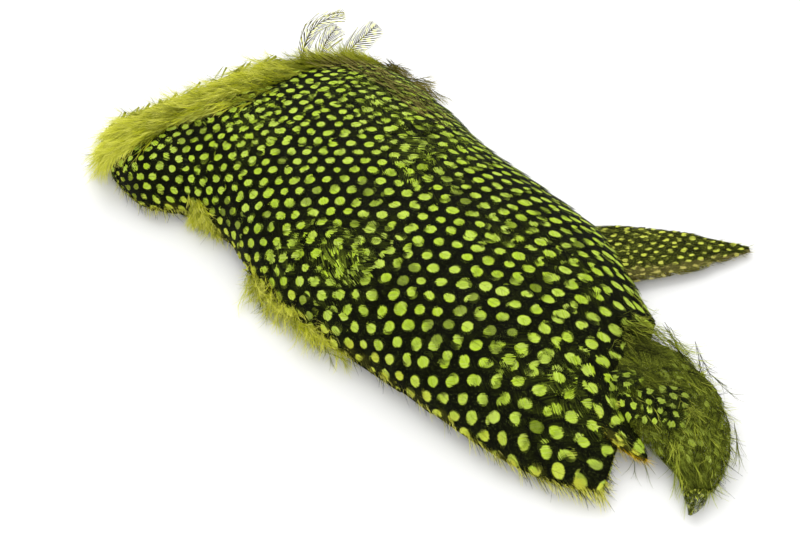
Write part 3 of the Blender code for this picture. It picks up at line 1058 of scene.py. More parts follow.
@dataclass(frozen=True)
class Strands:
    """Loose fibres as tapered ribbons, in millimetres."""

    width: float = 0.24
    tip_share: float = 0.25
    steps: int = 4
    curl: float = 0.30
    droop: float = 0.05
    tilt: float = 0.8
    lowest: float = 0.4

    def add(self, ribbons: Ribbons, roots: Array, ways: Array, lengths: Array, tone: Array,
            reach: tuple[Array, Array], other: Array, draw: np.random.Generator) -> None:
        """Adds one ribbon for each root.

        Args:
            ribbons: where they go.
            roots: start points.
            ways: start directions, at length one.
            lengths: lengths along the fibres.
            tone: tone of each fibre, 0 to 1.
            reach: how near the tuft's outside each fibre starts and ends, 0 to 1.
            other: share of the finish's other colour.
            draw: the random source.
        """
        n = len(roots)
        q = np.linspace(0.0, 1.0, self.steps)[None, :, None]
        bend = draw.normal(0.0, self.curl, (n, 3))
        bend = bend - ways * (bend * ways).sum(axis=-1, keepdims=True)
        bend[:, 2] -= self.droop
        long = lengths[:, None, None]
        line = roots[:, None, :] + ways[:, None, :] * long * q + bend[:, None, :] * long * q**2
        ahead = unit(ways[:, None, :] + 2 * bend[:, None, :] * q)
        up = unit(np.array([0.0, 0.0, 1.0]) + draw.normal(0.0, self.tilt, (n, 3)))
        side = unit(np.cross(ahead, up[:, None, :]))
        half = self.width / 2 * (1 - (1 - self.tip_share) * q**1.5)
        line[..., 2] = np.maximum(line[..., 2], self.lowest)
        share = q[..., 0]
        look = np.stack([
            np.broadcast_to(tone[:, None], (n, self.steps)),
            reach[0][:, None] + (reach[1] - reach[0])[:, None] * share,
            np.broadcast_to(other[:, None], (n, self.steps)),
            np.zeros((n, self.steps)),
        ], axis=-1)
        ribbons.add(line - side * half, line + side * half, look)


@dataclass(frozen=True)
class DownPlume:
    """A small plume of down: a short bent shaft with fine barbs all round it, in millimetres."""

    length: float = 9.0
    barbs: int = 11
    barb_length: float = 5.0
    angle: float = 38.0
    bend: float = 0.25
    strands: Strands = Strands()

    def add(self, ribbons: Ribbons, roots: Array, ways: Array, ups: Array, scale: Array,
            tone: Array, other: Array, draw: np.random.Generator) -> None:
        """Adds one plume for each root.

        Args:
            ribbons: where their barbs go.
            roots: start points.
            ways: start directions, at length one.
            ups: outward directions at the roots.
            scale: each plume's size, where 1 is the length given.
            tone: tone of each plume, 0 to 1.
            other: share of the finish's other colour.
            draw: the random source.
        """
        n = len(roots)
        for side_sign in (-1.0, 1.0):
            t = (np.arange(self.barbs) + draw.random((n, self.barbs))) / self.barbs
            long = (self.length * scale)[:, None, None]
            bend = draw.normal(0.0, self.bend, (n, 1, 3))
            base = roots[:, None, :] + (ways[:, None, :] * t[..., None] + bend * t[..., None] ** 2) * long
            ahead = unit(ways[:, None, :] + 2 * bend * t[..., None])
            side = unit(np.cross(ups[:, None, :], ahead))
            over = np.cross(ahead, side)
            angle = np.radians(self.angle) * draw.uniform(0.5, 1.3, (n, self.barbs, 1))
            angle = angle * (1 - 0.5 * t[..., None])
            roll = draw.normal(0.25, 0.6, (n, self.barbs, 1))
            aside = side * side_sign * np.cos(roll) + over * np.sin(roll)
            way = ahead * np.cos(angle) + np.sin(angle) * aside
            length = self.barb_length * scale[:, None] * (0.55 + 0.45 * np.sin(np.pi * (0.15 + 0.75 * t)))
            length = length * draw.uniform(0.7, 1.25, (n, self.barbs))
            start = 0.55 * t
            self.strands.add(
                ribbons, base.reshape(-1, 3), unit(way).reshape(-1, 3), length.ravel(),
                np.clip(np.repeat(tone, self.barbs) + draw.normal(0.0, 0.15, n * self.barbs), 0, 1),
                (start.ravel(), (start + 0.45).ravel()),
                np.repeat(other, self.barbs), draw,
            )


def surface_points(name: str, count: int, draw: np.random.Generator) -> tuple[Array, Array]:
    """Picks points evenly over a frame node, in the skin's plan.

    Args:
        name: the node's name.
        count: how many points.
        draw: the random source.

    Returns:
        The points and the outward directions there.
    """
    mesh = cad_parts[name].data
    mesh.calc_loop_triangles()
    corners = np.empty(len(mesh.vertices) * 3)
    mesh.vertices.foreach_get("co", corners)
    corners = corners.reshape(-1, 3) / MM - CENTRE
    triangles = np.empty(len(mesh.loop_triangles) * 3, int)
    mesh.loop_triangles.foreach_get("vertices", triangles)
    a, b, c = (corners[triangles.reshape(-1, 3)[:, k]] for k in range(3))
    cross = np.cross(b - a, c - a)
    area = np.linalg.norm(cross, axis=1)
    pick = draw.choice(len(area), count, p=area / area.sum())
    u, v = draw.random(count), draw.random(count)
    flip = u + v > 1
    u, v = np.where(flip, 1 - u, u), np.where(flip, 1 - v, v)
    points = a[pick] + (b - a)[pick] * u[:, None] + (c - a)[pick] * v[:, None]
    return points, unit(cross[pick])


@dataclass
class Tuft:
    """A tuft of down in a frame node's place and form."""

    name: str
    stands_for: str
    slot: str
    finish: bpy.types.Material
    guides: tuple[Guide, ...]
    plumes: int
    plume: DownPlume
    sink: tuple[float, float] = (0.3, 3.0)
    back: float = 0.6
    lean: float = 0.15
    spread: float = 0.22
    dark: tuple[Patch, ...] = ()
    dark_share: float = 0.05
    hairs: int = 0
    hair_length: tuple[float, float] = (7.0, 13.0)
    cover: int = 0
    # Places along the coat and the nearest place across it that the cover reaches there
    cover_line: tuple[tuple[float, float], ...] = ()
    cover_far: float = 0.95
    cover_height: tuple[float, float] = (2.6, 4.6)
    clump: float = 6.0
    streak: float = 1.0
    clump_turn: float = 0.16
    clump_tone: float = 0.20
    under_width: float = 0.0
    hair: Strands = Strands(width=0.16, curl=0.25, steps=5, droop=0.1)
    seed: int = 5

    def cover_roots(self, draw: np.random.Generator) -> tuple[Array, Array, Array]:
        """Picks roots on top of the coat, thicker towards its far edge.

        Args:
            draw: the random source.

        Returns:
            The roots, the way each plume runs, and the outward directions.
        """
        line = np.array(self.cover_line)
        along = draw.uniform(line[0, 0], line[-1, 0], self.cover)
        nearest = np.interp(along, line[:, 0], line[:, 1])
        across = mix(nearest, self.cover_far, draw.random(self.cover))
        _, _, out = FORM.tangents(along, across)
        points = FORM.point(along, across) + out * draw.uniform(*self.cover_height, self.cover)[:, None]
        ways = flow(self.guides, points)
        ways = unit(ways - out * (ways * out).sum(axis=1, keepdims=True))
        ways = unit(ways + out * 0.05 + draw.normal(0.0, self.spread, ways.shape))
        return points - ways * self.plume.length * 0.3, ways, out

    def roots(self, count: int, draw: np.random.Generator) -> tuple[Array, Array, Array]:
        """Picks roots inside the node.

        Args:
            count: how many places to try.
            draw: the random source.

        Returns:
            The roots, the way each plume runs, and the outward directions.
        """
        points, out = surface_points(self.stands_for, count, draw)
        keep = out[:, 2] > -0.5
        points, out = points[keep], out[keep]
        ways = flow(self.guides, points)
        ways = ways - out * (ways * out).sum(axis=1, keepdims=True) * 0.7
        ways = unit(unit(ways) + out * self.lean + draw.normal(0.0, self.spread, ways.shape))
        sink = draw.uniform(*self.sink, len(points))[:, None]
        roots = points - out * sink - ways * self.plume.length * self.back
        roots[:, 2] = np.maximum(roots[:, 2], 0.8)
        return roots, ways, out

    def build(self) -> None:
        """Builds the tuft as one mesh."""
        draw = np.random.default_rng(self.seed)
        ribbons = Ribbons()
        roots, ways, out = self.roots(self.plumes, draw)
        if self.cover:
            more = self.cover_roots(draw)
            roots, ways, out = (np.concatenate(pair) for pair in zip((roots, ways, out), more))
        scale = draw.uniform(0.7, 1.2, len(roots))
        guide = flow(self.guides, roots)
        beside = unit(np.stack([-guide[:, 1], guide[:, 0], np.zeros(len(roots))], axis=-1))
        places = np.stack([(roots * guide).sum(axis=1) / self.streak, (roots * beside).sum(axis=1),
                           roots[:, 2]], axis=-1)
        cell = np.unique(np.floor(places / self.clump).astype(int), axis=0, return_inverse=True)[1].ravel()
        clumps = int(cell.max()) + 1
        ways = unit(ways + draw.normal(0.0, self.clump_turn, (clumps, 3))[cell])
        tone = draw.normal(0.35, 0.15, len(roots)) + draw.normal(0.0, self.clump_tone, clumps)[cell]
        tone = np.clip(tone, 0, 1)
        dark = patch_value(self.dark, roots[:, 0], roots[:, 1])
        dark = dark + self.dark_share * 3 * (draw.random(clumps) ** 2)[cell]
        other = (draw.random(len(roots)) < dark) * draw.uniform(0.4, 1.0, len(roots))
        self.plume.add(ribbons, roots, ways, out, scale, tone, other, draw)
        if self.under_width:
            wide = Strands(width=self.under_width, tip_share=0.3, curl=0.12, steps=4, tilt=0.3)
            zeros = np.zeros(len(roots))
            wide.add(ribbons, roots - out * 1.6, ways, scale * self.plume.length * 0.8, tone * 0.5,
                     (zeros, zeros + 0.55), other, draw)
        if self.hairs:
            roots, ways, out = self.roots(self.hairs, draw)
            zeros = np.zeros(len(roots))
            self.hair.add(ribbons, roots, ways, draw.uniform(*self.hair_length, len(roots)),
                          zeros, (zeros + 0.2, zeros + 0.8), (draw.random(len(roots)) < 0.5) * 1.0, draw)
        hand_in(ribbons.build(self.name, self.finish), self.slot, self.stands_for)


@dataclass
class Fringe:
    """Loose barbs along a stretch of a form's edge."""

    name: str
    slot: str
    finish: bpy.types.Material
    form: Form
    stretch: tuple[tuple[float, float], tuple[float, float]]
    guides: tuple[Guide, ...]
    count: int
    length: tuple[float, float] = (5.0, 10.0)
    back: float = 4.0
    depth: float = 0.06
    height: tuple[float, float] = (-1.5, 2.0)
    spread: float = 0.14
    strands: Strands = Strands(width=0.24, curl=0.18, steps=4, droop=0.12)
    clump: float = 0.5
    clumps: int = 30
    dark_share: float = 0.3
    seed: int = 3

    def build(self) -> None:
        """Builds the fringe as one mesh."""
        draw = np.random.default_rng(self.seed)
        ribbons = Ribbons()
        (a0, b0), (a1, b1) = self.stretch
        share = draw.random(self.count)
        group = np.round(share * self.clumps).astype(int)
        share = mix(share, group / self.clumps, self.clump * draw.random(self.count))
        along = mix(a0, a1, share)
        across = mix(b0, b1, share)
        across = across - np.sign(across) * self.depth * draw.random(self.count)
        points = self.form.point(along, across)
        points[:, 2] += draw.uniform(*self.height, self.count)
        turns = draw.normal(0.0, self.spread, (self.clumps + 1, 3))[group]
        ways = unit(flow(self.guides, points) + turns + draw.normal(0.0, self.spread * 0.6, points.shape))
        roots = points - ways * self.back * draw.uniform(0.5, 1.5, self.count)[:, None]
        roots[:, 2] = np.maximum(roots[:, 2], 0.8)
        lengths = self.back + draw.uniform(*self.length, self.count) * (0.5 + 0.5 * draw.random(self.count))
        tone = draw.random(self.count)
        zeros = np.zeros(self.count)
        self.strands.add(ribbons, roots, ways, lengths, tone, (zeros, zeros + 1.0),
                         (draw.random(self.count) < self.dark_share) * 1.0, draw)
        hand_in(ribbons.build(self.name, self.finish), self.slot)


@dataclass
class Studio:
    """A plain pale floor, soft studio light, and the camera at the photograph's angle."""

    azimuth: float = 30.0
    elevation: float = 50.0
    distance: float = 720.0
    look_at: tuple[float, float, float] = (0.0, 0.0, 10.0)
    lens: float = 75.0
    floor_size: float = 6.0
    floor_colour: str = "#FBFBFA"
    floor_roughness: float = 0.9
    sky: float = 0.80
    # Each area light's name, place and size in metres, and power in watts
    lamps: tuple[tuple[str, tuple[float, float, float], float, float], ...] = (
        ("key_light", (-0.5, 0.5, 0.9), 1.1, 7.5),
        ("fill_light", (0.6, -0.7, 0.8), 1.1, 3.5),
    )

    def floor(self) -> None:
        """Makes the floor."""
        bpy.ops.object.select_all(action="DESELECT")
        bpy.ops.mesh.primitive_plane_add(size=self.floor_size, location=(0.0, 0.0, -0.0005))
        plane = bpy.context.active_object
        plane.name = "studio_floor"
        material, shader = new_material("white_card", self.floor_roughness, 0.0)
        shader.inputs["Base Color"].default_value = linear(self.floor_colour)
        plane.data.materials.append(material)

    def lights(self) -> None:
        """Makes the soft light from above and the even light all round."""
        world = bpy.data.worlds.new("studio_light")
        world.use_nodes = True
        background = world.node_tree.nodes["Background"]
        background.inputs["Color"].default_value = (1.0, 1.0, 1.0, 1.0)
        background.inputs["Strength"].default_value = self.sky
        bpy.context.scene.world = world
        for name, place, size, power in self.lamps:
            light = bpy.data.lights.new(name, "AREA")
            light.size = size
            light.energy = power
            holder = bpy.data.objects.new(name, light)
            holder.location = place
            holder.rotation_euler = (-Vector(place)).to_track_quat("-Z", "Y").to_euler()
            bpy.context.scene.collection.objects.link(holder)

    def camera(self) -> None:
        """Makes the camera."""
        azimuth, elevation = math.radians(self.azimuth), math.radians(self.elevation)
        level = math.cos(elevation)
        back = Vector((math.sin(azimuth) * level, -math.cos(azimuth) * level, math.sin(elevation)))
        target = (Vector(self.look_at) + Vector(CENTRE)) * MM
        data = bpy.data.cameras.new("camera")
        data.lens = self.lens
        data.clip_start = 0.01
        holder = bpy.data.objects.new("camera", data)
        holder.location = target + back * self.distance * MM
        holder.rotation_mode = "QUATERNION"
        holder.rotation_quaternion = (-back).to_track_quat("-Z", "Y")
        bpy.context.scene.collection.objects.link(holder)
        bpy.context.scene.camera = holder

    def build(self) -> None:
        """Builds the stage."""
        self.floor()
        self.lights()
        self.camera()
        bpy.context.scene.view_settings.view_transform = "Standard"


def dress_frame(under: bpy.types.Material, hide: bpy.types.Material) -> None:
    """Gives the frame nodes that stay their finishes."""
    for name, finish in (("body_feathers", under), ("skin", hide)):
        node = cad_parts[name]
        node.data.materials.clear()
        node.data.materials.append(finish)


class Down(Enum):
    """The parts of the skin that are down or loose barbs."""

    NECK = "neck"
    BREAST = "breast"
    FLANK = "flank"
    SHOULDER = "shoulder"


COAT_RUFFLES: tuple[Patch, ...] = (
    (-33.0, -18.0, 7.0, 0.7), (-57.0, -20.0, 5.0, 0.4), (73.0, -32.0, 10.0, 0.45), (42.0, -34.0, 5.0, 0.35),
    (-31.0, 34.0, 7.0, 0.4), (-40.0, 58.0, 16.0, 0.4), (-80.0, 58.0, 12.0, 0.35), (20.0, 20.0, 10.0, 0.2),
    (-105.0, 8.0, 6.0, 0.35), (-128.0, 6.0, 5.0, 0.35), (50.0, 20.0, 9.0, 0.2),
)
COAT_PIECES = (("neck_coat", 0.30), ("back_coat", 0.52), ("saddle_coat", 0.75), ("tail_coat", 1.01))
COAT_SQUEEZE = ((-1.0, 0.95), (-0.3, 0.86), (0.2, 0.74), (0.4, 0.66), (0.6, 0.42), (1.0, 0.36))
THIGH = LobeForm(
    route=((56.0, 44.0, 5.0), (79.0, 59.5, 4.5), (103.0, 75.5, 3.5), (125.0, 91.0, 2.0)),
    half_widths=(15.5, 15.0, 10.5, 1.0), bow=1.5, past_side=2.0, past_end=2.0,
)
RUMP = LobeForm(
    route=((88.0, 0.0, 8.0), (112.0, -3.0, 12.0), (133.0, -10.0, 10.0), (148.0, -22.0, 7.0),
           (157.0, -36.0, 4.0)),
    half_widths=(16.0, 18.0, 19.0, 14.0, 4.0), bow=3.0, past_side=2.0, past_end=2.0,
)
TAIL_POINT = LobeForm(
    route=((84.0, -15.0, 25.0), (102.0, -23.0, 17.5), (118.0, -30.0, 10.0), (132.0, -34.0, 5.5)),
    half_widths=(11.0, 10.5, 6.5, 0.5), bow=1.5, past_side=1.0, past_end=1.5,
)
HOOK = LobeForm(
    route=((143.0, -20.0, 7.0), (151.0, -30.0, 5.5), (156.5, -40.0, 4.0), (157.5, -47.0, 3.0)),
    half_widths=(4.0, 5.5, 4.0, 0.5), bow=0.8, past_side=1.0, past_end=1.0,
)


def build_coat(spotted: bpy.types.Material, amber: bpy.types.Material) -> None:
    """Builds the coat over the body, and the few tail feathers that reach on over the rump."""
    FeatherField(
        FORM, spotted, Plumage(lean=8.0, row_turn=26.0, squeeze=COAT_SQUEEZE), COAT_PIECES,
        "spotted_feather", ruffled=COAT_RUFFLES,
    ).build()
    FeatherField(
        TAIL_POINT, spotted,
        Plumage(row_step=(8.0, 5.0), side_step=(8.0, 6.0), length=(30.0, 16.0), half_width=(8.0, 4.0),
                spacing=(8.6, 7.6), barbs=(32, 20), lift=(1.2, 0.6), outward=0.0, ruffle=0.12,
                row_turn=30.0, squeeze=((0.0, 0.9),), last_row=0.85, least_length=8.0, yellow_edge=0.45),
        (("tail_point_feathers", 1.01),), "spotted_feather", seed=31,
    ).build()
    Fringe(
        "tail_point_fringe", "dyed_down", amber, TAIL_POINT, ((0.45, -0.98), (1.0, -0.9)),
        (((105.0, -35.0, 8.0), (0.95, -0.3, -0.1)), ((130.0, -36.0, 5.0), (0.97, -0.1, -0.1))), 420,
        length=(2.0, 7.0), back=4.0, height=(-2.0, 0.6), depth=0.3, seed=17,
    ).build()


def build_down(part: Down, yellow: bpy.types.Material, brown: bpy.types.Material) -> None:
    """Builds one tuft of down along the coat's edge."""
    if part is Down.NECK:
        Tuft("neck_down_fibres", "neck_down", "dyed_down", yellow, (
            ((-60.0, 85.0, 28.0), (-0.95, 0.1, 0.0)), ((-90.0, 88.0, 24.0), (-0.95, -0.2, 0.0)),
            ((-105.0, 78.0, 22.0), (-0.75, -0.6, 0.0)), ((-122.0, 50.0, 20.0), (-0.5, -0.85, -0.1)),
            ((-138.0, 25.0, 17.0), (-0.6, -0.8, -0.3)), ((-150.0, 6.0, 12.0), (-0.35, -0.8, -0.5)),
            ((-154.0, -8.0, 5.0), (-0.1, -0.8, -0.7)),
        ), 600, DownPlume(length=11.0, barbs=13, barb_length=7.0, angle=15.0, bend=0.18,
                          strands=Strands(width=0.17, curl=0.2, steps=3)),
             hairs=30, back=0.95, lean=0.0, spread=0.12, under_width=1.3, clump_turn=0.07, clump_tone=0.12,
             cover=900, cover_line=(
            (0.0, -0.7), (0.04, -0.75), (0.08, -0.62), (0.11, -0.5), (0.17, -0.16), (0.215, -0.04),
            (0.265, 0.02), (0.35, 0.0), (0.38, 0.2), (0.41, 0.42), (0.46, 0.6),
        ), cover_far=0.75, dark=(
            (-74.0, 62.0, 16.0, 0.75), (-125.0, 6.0, 6.0, 0.5), (-112.0, 16.0, 7.0, 0.5),
            (-95.0, 28.0, 9.0, 0.6), (-52.0, 80.0, 16.0, 0.95),
        )).build()
    elif part is Down.BREAST:
        Tuft("breast_down_fibres", "breast_down", "dyed_down", yellow, (
            ((-98.0, -8.0, 12.0), (0.5, -0.8, -0.3)), ((-88.0, -16.0, 3.0), (0.4, -0.95, -0.1)),
            ((-78.0, -22.0, 3.0), (0.6, -0.8, -0.1)),
        ), 130, DownPlume(length=6.0, barb_length=4.5, angle=16.0, strands=Strands(width=0.18, curl=0.25)),
             dark_share=0.3, hairs=50, back=0.95, spread=0.16, cover=60,
             cover_line=((0.275, -0.98), (0.31, -0.98)), cover_far=-0.8, cover_height=(1.6, 3.0)).build()
    elif part is Down.FLANK:
        Tuft("flank_down_fibres", "flank_down", "dyed_down", yellow, (
            ((-50.0, -34.0, 3.0), (0.3, -1.0, -0.1)), ((-25.0, -44.0, 3.0), (0.6, -0.85, -0.1)),
            ((5.0, -50.0, 3.0), (0.85, -0.55, -0.1)),
        ), 300, DownPlume(length=9.0, barb_length=7.0, angle=14.0, strands=Strands(width=0.2, curl=0.35)),
             dark_share=0.2, hairs=160, back=0.95, spread=0.18, clump=4.0, clump_turn=0.25, clump_tone=0.3,
             hair_length=(9.0, 16.0)).build()
    else:
        Tuft("shoulder_barbs", "shoulder_tuft", "olive_plume", brown, (
            ((-75.0, 88.0, 20.0), (0.99, 0.05, -0.05)), ((-50.0, 92.0, 20.0), (0.99, 0.05, -0.1)),
            ((-30.0, 88.0, 18.0), (0.98, 0.05, -0.1)), ((-22.0, 80.0, 16.0), (0.95, -0.2, -0.25)),
        ), 330, DownPlume(length=9.0, barb_length=6.0, angle=12.0, bend=0.12,
                          strands=Strands(width=0.2, curl=0.2)),
             dark_share=0.35, hairs=160, back=0.95, lean=0.03, spread=0.14, sink=(0.2, 3.0),
             hair_length=(9.0, 16.0)).build()


def build_plumes(olive: bpy.types.Material, olive_spotted: bpy.types.Material, spotted: bpy.types.Material,
                 rump_vane: bpy.types.Material, brown: bpy.types.Material) -> None:
    """Builds the rump's plumes and the thigh plume."""
    FeatherField(
        THIGH, olive_spotted,
        Plumage(row_step=(4.0, 3.5), side_step=(5.5, 4.0), length=(20.0, 12.0), half_width=(5.5, 3.0),
                spacing=(6.6, 5.6), barbs=(26, 18), lift=(0.8, 0.6), outward=-6.0, yaw=2.0, ruffle=0.10,
                phase_noise=0.0, tip_gap=0.6, row_turn=8.0, squeeze=((0.0, 0.56),), last_row=0.93,
                least_length=8.0, past_end=1.0, yellow_edge=0.55, dim_share=0.08),
        (("thigh_plume_barbs", 1.01),), "olive_plume", stands_for=("thigh_plume",), seed=21,
    ).build()
    for name, finish, side, ahead in (
        ("thigh_fringe_near", brown, -1.0, -0.3),
        ("thigh_fringe_far", olive, 1.0, 0.25),
    ):
        Fringe(
            name, "olive_plume", finish, THIGH, ((0.05, 0.99 * side), (1.0, 0.8 * side)),
            (((70.0, 50.0, 4.0), (0.9, 0.55 + ahead, 0.0)),
             ((120.0, 88.0, 3.0), (0.9, 0.62 + ahead * 0.5, 0.0))), 700,
            length=(1.0, 4.0), back=4.0, height=(-0.5, 1.2), depth=0.15, seed=6,
            strands=Strands(width=0.22, curl=0.12, steps=3, droop=0.05),
        ).build()
    FeatherField(
        RUMP, rump_vane,
        Plumage(row_step=(5.0, 4.5), side_step=(6.0, 5.0), length=(26.0, 18.0), half_width=(6.5, 5.0),
                spacing=(7.0, 6.0), barbs=(28, 20), lift=(2.4, 1.6), outward=8.0, yaw=7.0, ruffle=0.5,
                phase_noise=0.1, root_gap=0.25, tip_gap=0.7, squeeze=((0.0, 0.6),), rise=1.0, last_row=0.93,
                least_length=9.0, past_end=1.5),
        (("rump_plumes", 1.01),), "olive_plume", seed=24,
        spotted=((116.0, 14.0, 9.0, 0.9), (128.0, -14.0, 7.0, 0.8), (146.0, -8.0, 6.0, 0.6)),
    ).build()
    Tuft("rump_barbs", "rump_tuft", "olive_plume", olive, (
        ((90.0, 6.0, 10.0), (1.0, -0.1, 0.1)), ((118.0, 8.0, 12.0), (1.0, -0.25, 0.0)),
        ((112.0, -12.0, 10.0), (0.85, -0.45, 0.0)), ((142.0, 0.0, 9.0), (0.8, -0.6, -0.1)),
        ((130.0, -26.0, 8.0), (0.75, -0.6, -0.1)), ((157.0, -16.0, 6.0), (0.5, -0.85, -0.15)),
        ((150.0, -38.0, 5.0), (0.45, -0.85, -0.1)), ((163.0, -38.0, 4.0), (0.0, -1.0, -0.1)),
    ), 470, DownPlume(length=19.0, barbs=13, barb_length=10.0, angle=10.0, bend=0.10,
                      strands=Strands(width=0.2, curl=0.22)),
         dark_share=0.45, hairs=200, spread=0.08, sink=(0.2, 3.0), back=1.35, hair_length=(14.0, 23.0),
         clump=3.0, streak=7.0, clump_turn=0.12, clump_tone=0.35, seed=8,
         hair=Strands(width=0.2, curl=0.2, steps=6, droop=0.05)).build()
    FeatherField(
        RUMP, spotted,
        Plumage(row_step=(6.0, 5.0), side_step=(7.0, 6.0), length=(20.0, 16.0), half_width=(6.0, 5.0),
                spacing=(6.0, 5.0), barbs=(26, 20), lift=(2.6, 2.0), outward=10.0, yaw=7.0, ruffle=0.25,
                phase_noise=0.1, tip_gap=0.6, squeeze=((0.0, 0.75),), rise=2.6),
        (("rump_feathers", 1.01),), "olive_plume", seed=22,
        spotted=((103.0, -14.0, 5.5, 1.3), (119.0, -12.0, 4.5, 1.2)), least_shown=0.5,
    ).build()
    FeatherField(
        HOOK, olive_spotted,
        Plumage(row_step=(3.0, 2.5), side_step=(3.0, 3.0), length=(12.0, 7.0), half_width=(3.5, 2.5),
                spacing=(3.6, 3.2), barbs=(14, 10), lift=(0.8, 0.6), outward=12.0, yaw=9.0, ruffle=0.6,
                root_gap=0.3, tip_gap=0.7, squeeze=((0.0, 0.7),), last_row=0.93, least_length=5.0,
                past_end=1.0),
        (("rump_hook_feathers", 1.01),), "olive_plume", seed=23,
    ).build()


LOOSE = {
    "loose_feather_left": (
        (-97.0, 76.0, 21.0), (-102.5, 88.5, 25.0), (-101.0, 99.0, 28.0), (-93.5, 106.5, 31.0),
    ),
    "loose_feather_middle": ((-91.0, 82.0, 21.0), (-93.0, 91.0, 24.0), (-91.5, 99.0, 28.0)),
    "loose_feather_right": (
        (-82.0, 84.0, 20.0), (-82.0, 95.0, 23.0), (-79.5, 102.5, 26.0), (-77.0, 109.0, 29.0),
    ),
}


def build_loose_feathers(spotted: bpy.types.Material) -> None:
    """Builds the three open feathers that stand away from the far edge."""
    for seed, (node, route) in enumerate(LOOSE.items()):
        form = LobeForm(route=route, half_widths=(5.5, 5.5), bow=0.5, past_side=2.5, past_end=2.0)
        length = float(np.linalg.norm(np.diff(np.array(route), axis=0), axis=1).sum())
        sizes = Plumage(length=(length, length), half_width=(6.5, 6.5), spacing=(4.4, 4.4), barbs=(17, 17),
                        root_gap=0.40, tip_gap=0.70, lift=(0.0, 0.0), rise=0.3, ruffle=0.7,
                        shaft_yellow=1.0, shaft_width=0.32, squeeze=((0.0, 0.85),), yellow_edge=2.0,
                        dim_share=0.0)
        field = FeatherField(form, spotted, sizes, ((node + "_barbs", 1.01),), "spotted_feather", (node,))
        field.build_one(seed)


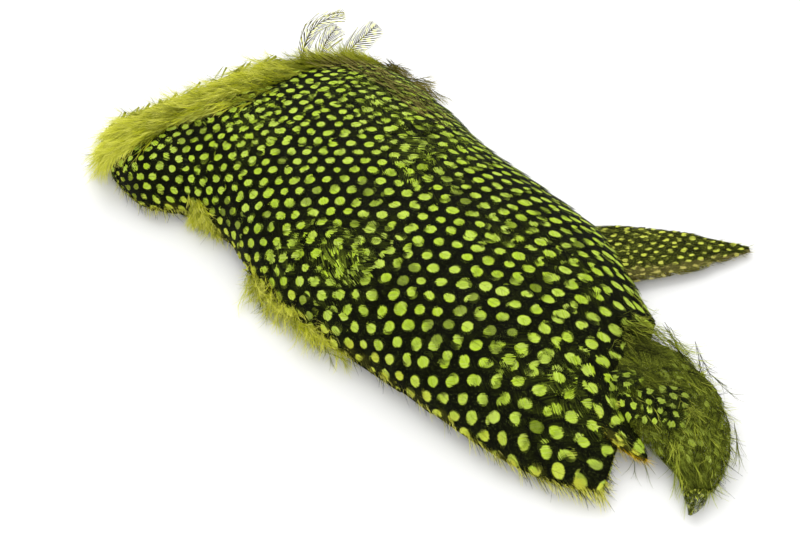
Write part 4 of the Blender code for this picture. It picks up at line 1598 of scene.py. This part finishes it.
def build_fringes(edge: bpy.types.Material, olive: bpy.types.Material, brown: bpy.types.Material) -> None:
    """Builds the loose barbs along the coat's near, tail and far edges."""
    Fringe(
        "near_fringe", "dyed_down", edge, FORM, ((0.03, -1.0), (0.62, -1.0)),
        (((-140.0, -20.0, 3.0), (0.78, -0.62, -0.1)), ((-60.0, -30.0, 3.0), (0.82, -0.57, -0.1)),
         ((30.0, -54.0, 3.0), (0.86, -0.5, -0.05))), 1500,
        length=(3.0, 9.0), back=3.0, depth=0.02, height=(-1.5, 1.0), clumps=44, clump=0.5,
        dark_share=0.45, seed=12,
    ).build()
    Fringe(
        "tail_fringe", "dyed_down", edge, FORM, ((0.60, -1.0), (1.0, -1.0)),
        (((30.0, -54.0, 3.0), (0.84, -0.54, -0.03)), ((110.0, -60.0, 3.0), (0.85, -0.52, -0.03))), 1500,
        length=(3.0, 14.0), back=3.0, depth=0.02, height=(-1.5, 1.0), spread=0.12, clumps=32, clump=0.45,
        dark_share=0.45, strands=Strands(width=0.3, curl=0.1, steps=4, droop=0.02),
    ).build()
    Fringe(
        "tail_end_fringe", "dyed_down", edge, FORM, ((1.0, -0.98), (0.985, 0.1)),
        (((122.0, -54.0, 4.0), (0.9, -0.4, -0.03)), ((112.0, 0.0, 10.0), (0.9, -0.3, -0.1))), 420,
        length=(2.0, 9.0), back=3.0, depth=0.0, height=(-1.0, 1.5), clumps=14, clump=0.5, dark_share=0.4,
    ).build()
    Fringe(
        "rump_edge_fringe", "olive_plume", olive, RUMP, ((0.35, 1.0), (1.0, 0.9)),
        (((130.0, 22.0, 8.0), (0.9, 0.3, 0.0)), ((150.0, 6.0, 5.0), (0.85, 0.2, 0.0)),
         ((162.0, -20.0, 4.0), (0.8, -0.5, 0.0)), ((160.0, -40.0, 3.0), (0.4, -0.9, 0.0))), 500,
        length=(2.0, 8.0), back=5.0, depth=0.1, height=(-1.0, 1.5), spread=0.22, clumps=14, seed=18,
        strands=Strands(width=0.26, curl=0.3, steps=5, droop=0.05),
    ).build()
    Fringe(
        "shoulder_edge_fringe", "olive_plume", brown, FORM, ((0.40, 0.62), (0.57, 0.62)),
        (((-80.0, 85.0, 25.0), (0.98, 0.12, -0.1)), ((-20.0, 80.0, 25.0), (0.98, 0.0, -0.15))), 520,
        length=(3.0, 10.0), back=8.0, depth=0.2, height=(2.4, 4.2), seed=14,
        strands=Strands(width=0.22, curl=0.08, steps=4, droop=0.12),
    ).build()
    Fringe(
        "far_edge_fringe", "olive_plume", olive, FORM, ((0.55, 0.62), (1.0, 0.9)),
        (((-20.0, 80.0, 25.0), (0.97, 0.0, -0.1)), ((90.0, 45.0, 15.0), (0.97, -0.1, -0.1))), 900,
        length=(1.5, 4.5), back=7.0, height=(1.0, 3.0), seed=9,
        strands=Strands(width=0.24, curl=0.1, steps=3, droop=0.1),
    ).build()


def main() -> None:
    """Builds the skin, piece by piece."""
    logging.basicConfig(level=logging.INFO, format="%(message)s")
    Studio().build()
    spotted = SpottedFeather().make()
    olive_spotted = SpottedFeather(
        name="olive_semiplume_vane", ground="#191A07", mottle="#9AA63C", spot="#DDE654",
        spot_core="#D0DC48", spot_painted_highlight="#EEF07A", spot_radius=0.205, warp=0.10, mottle_from=0.47,
        mottle_to=0.62, rim="#C4B46A", rim_share=0.14,
    ).make()
    rump_vane = SpottedFeather(
        name="olive_rump_vane", ground="#1C1E08", mottle="#8E9A30", barb_green="#8C9A2C", spot="#BCD03C",
        mottle_from=0.40, mottle_to=0.60,
    ).make()
    loose_vane = SpottedFeather(
        name="loose_semiplume_vane", ground="#33310F", mottle="#8A8640", barb_green="#A8A44A",
        spot="#DCDE4C", spot_core="#D4D43C", spot_painted_highlight="#ECEC84", spot_radius=0.30, warp=0.3,
    ).make()
    yellow = DyedFibre("chartreuse_down", "#7E860E", "#CCD024", "#F4F27C", "#5C640C").make()
    olive = DyedFibre("olive_barbs", "#23260A", "#8A9626", "#C4CC50", "#15170A").make()
    brown = DyedFibre("brown_olive_barbs", "#2C280A", "#6E6820", "#C8BC70", "#221E0A").make()
    edge = DyedFibre("chartreuse_edge_barbs", "#6A7010", "#CCD024", "#F4F07C", "#1C1F0A").make()
    amber = DyedFibre("amber_barbs", "#7A4E08", "#D8AC10", "#F0D83C", "#4A3008").make()

    dress_frame(UnderFeather().make(), DriedHide().make())
    build_coat(spotted, amber)
    for part in Down:
        build_down(part, yellow, brown)
    build_plumes(olive, olive_spotted, spotted, rump_vane, brown)
    build_loose_feathers(loose_vane)
    build_fringes(edge, olive, brown)


if __name__ == "__main__":
    main()
